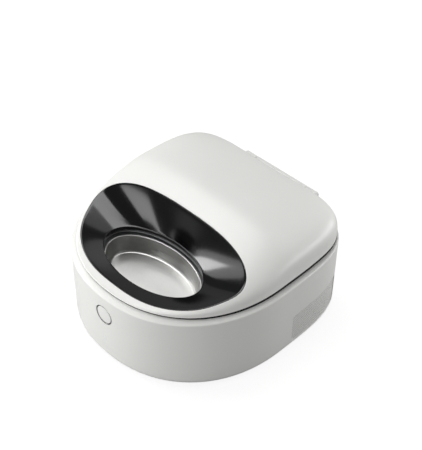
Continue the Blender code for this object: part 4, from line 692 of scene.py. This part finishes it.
# A land flush with the lid, then z = low + (high - low) (1 - share) ** hollow down to the neck. The share starts
# as (d + |(d, shoulder)|) / 2 over the slope's length, a hyperbola that turns the land softly into the slope
def funnelBezel():
    f = funnel
    angle = heading(lidEdge)[0]
    rim = funnelReach(angle) - f["gap"]
    atRim = fromFunnel(angle, rim, 0)
    high = lidTop(atRim[:, 0], atRim[:, 1]) - f["sink"]
    soft = f["edgeRound"]
    a = quarterAngles(f["edgeSteps"])[:-1, None]
    landEnd = rim - f["land"]
    opening = openingReach(angle)
    lip = opening + f["lipRound"]
    length = landEnd - lip
    near = np.linspace(soft - f["land"], f["bend"], f["bendRows"])[:, None]
    far = f["bend"] + (length - f["bend"]) * np.linspace(0, 1, f["slopeRows"])[1:, None]
    d = np.concatenate([near + 0 * length, far])
    share = np.clip((d + np.hypot(d, f["shoulder"])) / 2 / length, 0, 1)
    slopeZ = f["openZ"] + (high - f["openZ"]) * (1 - share) ** f["hollow"]
    b = quarterAngles(f["lipSteps"])[1:, None]
    hiddenShare = np.linspace(1, 0, f["hiddenRows"])[:, None]
    hiddenZ = f["openZ"] + (high - f["openZ"]) * (1 - hiddenShare) ** f["hollow"]
    tilt = np.arctan2((high - f["openZ"]) * f["hollow"] * (1 - hiddenShare) ** (f["hollow"] - 1), length)
    neckZ = f["openZ"] - f["neck"]
    rows = [
        (rim - soft * (1 - np.cos(a)), high - soft * (1 - np.sin(a))), (landEnd - d, slopeZ),
        (lip - f["lipRound"] * np.sin(b), f["openZ"] - f["lipRound"] * (1 - np.cos(b)) + 0 * opening),
        (opening[None], neckZ + 0 * opening[None]), (opening[None] + f["wall"], neckZ + 0 * opening[None]),
        (landEnd - length * hiddenShare + f["wall"] * np.sin(tilt), hiddenZ - f["wall"] * np.cos(tilt)),
        (rim[None], (high - f["skirt"])[None]),
    ]
    distance, z = (np.concatenate(part) for part in zip(*rows))
    bezel = ringSurface("funnelBezel", fromFunnel(angle, distance, z), True, f["sharp"])
    place(bezel, "lid", "polishedAcrylicBlack", "gloss_black", "bezel")


lidShell()
funnelBezel()
print("lid made")

# Well, tray and shutter, seen when the lid is up

inner = dict(
    wellRadius=138.5 * mm, wellOuter=140.5 * mm, flange=149.5 * mm, flangeTop=113.4 * mm, flangeLow=111.9 * mm,
    wellFloor=71 * mm, wellUnder=68 * mm, wellCorner=5 * mm, wellOuterCorner=6.5 * mm, bushHole=9.05 * mm,
    trayRadius=136 * mm, trayTop=105.6 * mm, trayThick=2.2 * mm, trayRound=1.2 * mm, trayFillet=1 * mm,
    skirtLow=95.6 * mm, hubRadius=16 * mm, hubLow=73 * mm, socketRadius=6.3 * mm, socketTop=85 * mm,
    bowlHoleLength=78.5 * mm, bowlHoleWidth=44.99 * mm, cutBeyond=4 * mm, shutterRadius=137 * mm,
    shutterLow=109.6 * mm, shutterHigh=111.4 * mm, windowMargin=1 * mm, shaftRadius=4 * mm, shaftTop=141.8 * mm,
    linerInset=10.8 * mm, linerLow=115.2 * mm, linerHigh=117.2 * mm, linerMargin=2.3 * mm,
    bossRadius=8 * mm, bossTop=136.5 * mm, bossBore=4.35 * mm, rootLift=0.3 * mm, sealInner=142.5 * mm,
    sealOuter=147.5 * mm, sealLow=113.7 * mm, sealHigh=114.9 * mm, edge=0.5 * mm, edgeSteps=4, wellSteps=6,
    shaftColumns=48, bossColumns=64, columns=256,
)


# Points turned about the turntable's axis, as x and y
def turnAbout(x, y, turn):
    c, s = math.cos(turn), math.sin(turn)
    return c * x - s * y, s * x + c * y


# An oval at a bowl's place, as (x, y)
def bowlOval(halfLength, halfWidth, turn):
    a = turnAngles(bowl["columns"])
    return np.stack(turnAbout(halfLength * np.cos(a), halfWidth * np.sin(a) - bowl["orbit"], turn), -1)


# A flat plate between an outer edge and the oval window, both on the same rays from the funnel's middle, with
# its four edges broken by short arcs
def windowPlate(name, angle, outer, window, low, high):
    e = inner["edge"]
    a = quarterAngles(inner["edgeSteps"])[:, None]
    sin, cos = e * (1 - np.sin(a)), e * (1 - np.cos(a))
    rows = [
        (window + sin[::-1], high - cos[::-1]), (outer - sin, high - cos),
        (outer - sin[::-1], low + cos[::-1]), (window + sin, low + cos),
    ]
    distance, z = (np.concatenate(part) for part in zip(*[(r, z + 0 * r) for r, z in rows]))
    return ringSurface(name, fromFunnel(angle, distance, z))


# Turned pieces with rounded corners: the well, the tray with three oval holes, the seal, the shutter and the liner
def innerPieces():
    n = inner
    e = n["edge"]
    well = filletPath([
        (n["wellRadius"], n["flangeTop"], e), (n["flange"], n["flangeTop"], e), (n["flange"], n["flangeLow"], 0),
        (n["wellOuter"], n["flangeLow"], 0), (n["wellOuter"], n["wellUnder"], n["wellOuterCorner"]),
        (n["bushHole"], n["wellUnder"], 0), (n["bushHole"], n["wellFloor"], 0),
        (n["wellRadius"], n["wellFloor"], n["wellCorner"]),
    ], n["wellSteps"])
    well = turnedPiece("chilledWell", well, columns=n["columns"])
    place(well, "base", "greyPolypropylene", "inner_grey", "inner_tub")

    under = n["trayTop"] - n["trayThick"]
    edge = n["trayRadius"] - n["trayThick"]
    tray = filletPath([
        (0, n["trayTop"], 0), (n["trayRadius"], n["trayTop"], n["trayRound"]), (n["trayRadius"], n["skirtLow"], e),
        (edge, n["skirtLow"], e), (edge, under, n["trayFillet"]), (n["hubRadius"], under, n["trayFillet"]),
        (n["hubRadius"], n["hubLow"], e), (n["socketRadius"], n["hubLow"], 0), (n["socketRadius"], n["socketTop"], 0),
        (0, n["socketTop"], 0),
    ])
    tray = turnedPiece("bowlTray", tray, columns=n["columns"])
    cutLow, cutHigh = under - n["cutBeyond"], n["trayTop"] + n["cutBeyond"]
    ovals = [bowlOval(n["bowlHoleLength"], n["bowlHoleWidth"], turn) for turn in bowlTurns]
    cutAway(tray, [prism("bowlHole%d" % i, oval, cutLow, cutHigh, "z") for i, oval in enumerate(ovals)])
    place(tray, "turntable", "greyPolypropylene", "inner_grey", "tray_carrier")

    seal = filletPath([
        (n["sealInner"], n["sealLow"], e), (n["sealOuter"], n["sealLow"], e), (n["sealOuter"], n["sealHigh"], 0),
        (n["sealInner"], n["sealHigh"], 0),
    ])
    seal = turnedPiece("lidSealRing", seal, columns=n["columns"])
    place(seal, "lid", "siliconeRubber", "rubber", "lid_seal")

    angle, outer = heading(lambda a: n["shutterRadius"] + 0 * a, n["columns"])
    window = openingReach(angle, n["windowMargin"])
    disc = windowPlate("shutterPlate", angle, outer, window, n["shutterLow"], n["shutterHigh"])
    place(disc, "shutter", "greyPolypropylene", "inner_grey", "shutter_disc")
    root = n["shutterLow"] + n["rootLift"]
    shaft = filletPath([
        (0, root, 0), (n["shaftRadius"], root, 0), (n["shaftRadius"], n["shaftTop"], e), (0, n["shaftTop"], 0),
    ])
    shaft = turnedPiece("shutterShaft", shaft, columns=n["shaftColumns"])
    place(shaft, "shutter", "greyPolypropylene", "inner_grey", "shutter_disc")

    angle, outer = heading(lambda a: reach(a, n["linerInset"]), n["columns"])
    window = openingReach(angle, n["linerMargin"])
    liner = windowPlate("lidLiner", angle, outer, window, n["linerLow"], n["linerHigh"])
    place(liner, "lid", "greyPolypropylene", "inner_grey", "lid_liner")
    root = n["linerLow"] + n["rootLift"]
    boss = filletPath([
        (n["bossBore"], root, 0), (n["bossRadius"], root, 0), (n["bossRadius"], n["bossTop"], e),
        (n["bossBore"], n["bossTop"], 0),
    ])
    boss = turnedPiece("shutterBoss", boss, columns=n["bossColumns"])
    place(boss, "lid", "greyPolypropylene", "inner_grey", "lid_liner")


# Bowls and small pieces

bowl = dict(
    orbit=84.2 * mm, halfLength=80.6 * mm, halfWidth=47.1 * mm, rim=107.6 * mm, lip=2.6 * mm, thick=1.7 * mm,
    depth=26.6 * mm, wall=0.9 * mm, taper=3 * mm, corner=4 * mm, floorRise=0.3 * mm, flat=5 * mm,
    lipInner=1.1 * mm, lipUnder=0.2 * mm, floorShares=(0.02, 0.2, 0.4, 0.6, 0.8), brushRadius=60 * mm,
    insideSteps=8, rollSteps=9, underSteps=6, sharp=40, columns=160,
)
bowlTurns = [2 * math.pi * i / 3 for i in range(3)]


# Oval rings of (inset, height) from the middle of the floor up the wall, over the rolled lip and back underneath;
# the floor's rings shrink by shares of its edge and rise by 1 - share ** 2. The brushing runs round the rings:
# its attribute is a circle in x and y, and the way along the section in z
def steelBowl(name, turn, node):
    b = bowl
    floor = b["rim"] - b["depth"]
    roll = b["thick"] / 2
    foot = b["lip"] + b["wall"] + b["taper"]
    flat = foot + b["flat"]
    inside = filletPath([
        (flat, floor, 0), (foot, floor, b["corner"]), (b["lip"] + b["wall"] / 2, b["rim"], b["lipInner"]),
        (roll, b["rim"], 0),
    ], b["insideSteps"])
    a = np.linspace(np.pi / 2, -np.pi / 2, b["rollSteps"])
    lip = np.stack([roll - roll * np.cos(a), b["rim"] - roll + roll * np.sin(a)], -1)
    under = filletPath([
        (b["lip"] - b["lipUnder"], b["rim"] - b["thick"], 0), (foot - b["wall"], floor - b["wall"], b["corner"]),
        (flat, floor - b["wall"], 0),
    ], b["underSteps"])
    section = np.concatenate([inside[:-1], lip, under])
    share = np.array(b["floorShares"])
    halves = np.array([b["halfLength"], b["halfWidth"]])
    ends = halves - flat
    rings = np.concatenate([share[:, None] * ends, halves - section[:, :1], share[::-1, None] * ends])
    rise = b["floorRise"] * (1 - share ** 2)
    z = np.concatenate([floor + rise, section[:, 1], floor - b["wall"] + rise[::-1]])
    around = turnAngles(b["columns"])
    x, y = rings[:, :1] * np.cos(around), rings[:, 1:] * np.sin(around) - b["orbit"]
    grid = np.stack([*turnAbout(x, y, turn), z[:, None] + 0 * x], -1)
    made = ringSurface(name, grid, False, b["sharp"])
    step = np.hypot(np.diff(rings[:, 1]), np.diff(z))
    along = np.concatenate([[0], np.cumsum(step)])[:, None] + 0 * x
    brushing = made.data.attributes.new("brushing", "FLOAT_VECTOR", "POINT")
    circle = b["brushRadius"] * onCircle(around) + 0 * x[..., None]
    circle = np.concatenate([circle, along[..., None]], -1)
    brushing.data.foreach_set("vector", circle.astype(np.float32).ravel())
    place(made, "turntable", "drawnSteel", "bowl_steel", node)


toFront = Matrix.Translation((0, -outline["front"], controls["buttonHeight"])) @ Matrix.Rotation(math.pi / 2, 4, "X")


# The button's face and its ring are turned about the front-to-back axis; the status light is a pill-shaped prism
def buttonPieces():
    k = controls
    face = filletPath([
        (0, -k["stemBack"], 0), (k["stemRadius"], -k["stemBack"], 0), (k["stemRadius"], -k["buttonBack"], 0),
        (k["buttonRadius"], -k["buttonBack"], 0), (k["buttonRadius"], -k["buttonSunk"], k["buttonRound"]),
        (0, -k["buttonSunk"], 0),
    ], k["steps"])
    place(turnedPiece("pressButton", face, toFront), "button", "touchedAbsWhite", "white_casing", "power_button")
    ring = filletPath([
        (k["ringInner"], -k["ringBack"], 0), (k["ringOuter"], -k["ringBack"], 0),
        (k["ringOuter"], -k["ringSunk"], k["ringRound"]), (k["ringInner"], -k["ringSunk"], k["ringRound"]),
    ], k["steps"])
    place(turnedPiece("buttonRim", ring, toFront), "base", "platedNickel", "bright_trim", "button_ring")
    low, high = k["lightSunk"] - outline["front"], k["lightBack"] - outline["front"]
    lens = prism("statusLight", lightOutline(k["lightRadius"]), low, high, "y")
    place(lens, "base", "opalPolycarbonate", "indicator_lens", "indicator_lens")


feet = dict(
    azimuths=(45, 135, 225, 315), circle=138.5 * mm, radius=9 * mm, height=1.7 * mm, edge=0.6 * mm,
    cupOuter=7 * mm, cupInner=6.4 * mm, cupDepth=0.4 * mm, columns=48,
)


# Turned pads on a circle, with a shallow cup underneath
def restPads():
    f = feet
    pad = filletPath([
        (0, f["height"], 0), (f["radius"], f["height"], 0), (f["radius"], 0, f["edge"]), (f["cupOuter"], 0, 0),
        (f["cupInner"], f["cupDepth"], 0), (0, f["cupDepth"], 0),
    ])[::-1]
    for i, azimuth in enumerate(f["azimuths"], 1):
        a = math.radians(azimuth)
        spot = Matrix.Translation((f["circle"] * math.cos(a), f["circle"] * math.sin(a), 0))
        foot = turnedPiece("restPad%d" % i, pad, spot, f["columns"])
        place(foot, "base", "siliconeRubber", "rubber", "foot_%d" % i)


innerPieces()
for i, turn in enumerate(bowlTurns, 1):
    steelBowl("steelBowl%d" % i, turn, "bowl_%d" % i)
buttonPieces()
restPads()
print("inside, bowls and small pieces made")

# Floor, light and camera

# Soft boxes all round: azimuth from the front towards the right, elevation, width, height and power in watts
softBoxes = {
    "frontLeftBox": dict(azimuth=-60, elevation=14, width=1.0, height=1.0, power=6),
    "brightLeftBox": dict(azimuth=-62, elevation=9, width=0.7, height=0.7, power=10),
    "narrowFrontBox": dict(azimuth=-20, elevation=24, width=0.42, height=0.66, power=3),
    "lowFrontBox": dict(azimuth=2, elevation=8, width=0.8, height=0.4, power=12),
    "smallLeftBox": dict(azimuth=-145, elevation=38, width=0.35, height=0.35, power=0.25),
    "dimLeftBox": dict(azimuth=-122, elevation=22, width=1.1, height=0.8, power=0.5),
    "upperLeftBox": dict(azimuth=-98, elevation=68, width=1.1, height=1.1, power=15),
    "rearRightBox": dict(azimuth=140, elevation=6, width=1.6, height=0.4, power=16),
    "rearBox": dict(azimuth=162, elevation=53, width=1.4, height=1.4, power=5),
}
studio = dict(
    away=1.7, centreHeight=0.1, floorSize=12, floorColour=0x8A8A8A, floorGlow=0.84, glowStart=0.4, glowEnd=1.6,
    mirroredShare=0.1, ambient=0.13,
)
view = dict(
    azimuth=45.64, elevation=43.08, distance=1466.6 * mm, focal=1069.6, centreX=197.96, centreY=252.53,
    aim=(0, 0, 80 * mm), width=422, height=450, sensor=36,
)


# Unit direction from the middle of the object: azimuth from the front towards the right, then up
def towards(azimuth, elevation):
    a, e = math.radians(azimuth), math.radians(elevation)
    return Vector((math.sin(a) * math.cos(e), -math.cos(a) * math.cos(e), math.sin(e)))


# Light level by kind of ray: full for the camera, a share of it for mirrored and transmitted rays, none for others
def rayLevel(tree):
    rays = addNode(tree, "ShaderNodeLightPath").outputs
    either = combine(tree, "MAXIMUM", rays["Is Glossy Ray"], rays["Is Transmission Ray"])
    return combine(tree, "MAXIMUM", combine(tree, "MULTIPLY", either, studio["mirroredShare"]), rays["Is Camera Ray"])


# Matt grey card that keeps the object's shadow, lifted to paper white for the rays above; the lift grows with the
# distance from the object, where less lamp light falls on the card
def makeFloor():
    made = bpy.data.materials.new("paperWhiteFloor")
    made.use_nodes = True
    tree = made.node_tree
    tree.nodes.remove(tree.nodes["Principled BSDF"])
    matt = addNode(tree, "ShaderNodeBsdfDiffuse", Color=[*toLinear(studio["floorColour"]), 1])
    spot = addNode(tree, "ShaderNodeTexCoord").outputs["Object"]
    away = addNode(tree, "ShaderNodeVectorMath", {"operation": "LENGTH"}, i0=spot)
    lift = addNode(tree, "ShaderNodeMapRange", {"interpolation_type": "SMOOTHSTEP"}, Value=away.outputs["Value"],
                   From_Min=studio["glowStart"], From_Max=studio["glowEnd"], To_Min=studio["floorGlow"], To_Max=1.0)
    level = combine(tree, "MULTIPLY", rayLevel(tree), lift.outputs[0])
    glow = addNode(tree, "ShaderNodeEmission", Color=(1, 1, 1, 1), Strength=level)
    lifted = addNode(tree, "ShaderNodeAddShader", i0=matt.outputs[0], i1=glow.outputs[0])
    tree.links.new(lifted.outputs[0], tree.nodes["Material Output"].inputs[0])
    bpy.ops.mesh.primitive_plane_add(size=studio["floorSize"], location=(0, 0, 0))
    floor = bpy.context.object
    floor.name = "floor"
    floor.data.materials.append(made)


# White for the camera, dimmer in mirrors, and a low even light on the object
def makeWorld():
    world = bpy.data.worlds.new("studioWorld")
    bpy.context.scene.world = world
    world.use_nodes = True
    tree = world.node_tree
    level = combine(tree, "MAXIMUM", rayLevel(tree), studio["ambient"])
    tree.links.new(level, tree.nodes["Background"].inputs["Strength"])
    tree.nodes["Background"].inputs["Color"].default_value = (1, 1, 1, 1)


# Rectangular area lamps that face the middle of the object
def makeSoftBox(name, azimuth, elevation, width, height, power):
    lamp = bpy.data.lights.new(name, "AREA")
    lamp.shape = "RECTANGLE"
    lamp.size = width
    lamp.size_y = height
    lamp.energy = power
    made = bpy.data.objects.new(name, lamp)
    out = towards(azimuth, elevation)
    made.location = out * studio["away"] + Vector((0, 0, studio["centreHeight"]))
    made.rotation_euler = out.to_track_quat("Z", "Y").to_euler()
    bpy.context.scene.collection.objects.link(made)


# The photograph's camera: focal length in pixels over the long side, and a shift that keeps the object off centre
def makeCamera():
    back = towards(view["azimuth"], view["elevation"])
    lens = bpy.data.cameras.new("camera")
    lens.sensor_fit = "AUTO"
    lens.sensor_width = view["sensor"]
    longSide = max(view["width"], view["height"])
    lens.lens = view["focal"] / longSide * view["sensor"]
    lens.shift_x = -(view["centreX"] - view["width"] / 2) / longSide
    lens.shift_y = (view["centreY"] - view["height"] / 2) / longSide
    made = bpy.data.objects.new("camera", lens)
    made.location = Vector(view["aim"]) + back * view["distance"]
    made.rotation_euler = back.to_track_quat("Z", "Y").to_euler()
    bpy.context.scene.collection.objects.link(made)
    bpy.context.scene.camera = made


makeFloor()
makeWorld()
for name, spec in softBoxes.items():
    makeSoftBox(name, **spec)
makeCamera()
bpy.context.scene.view_settings.view_transform = "Standard"
print("floor, light and camera made")
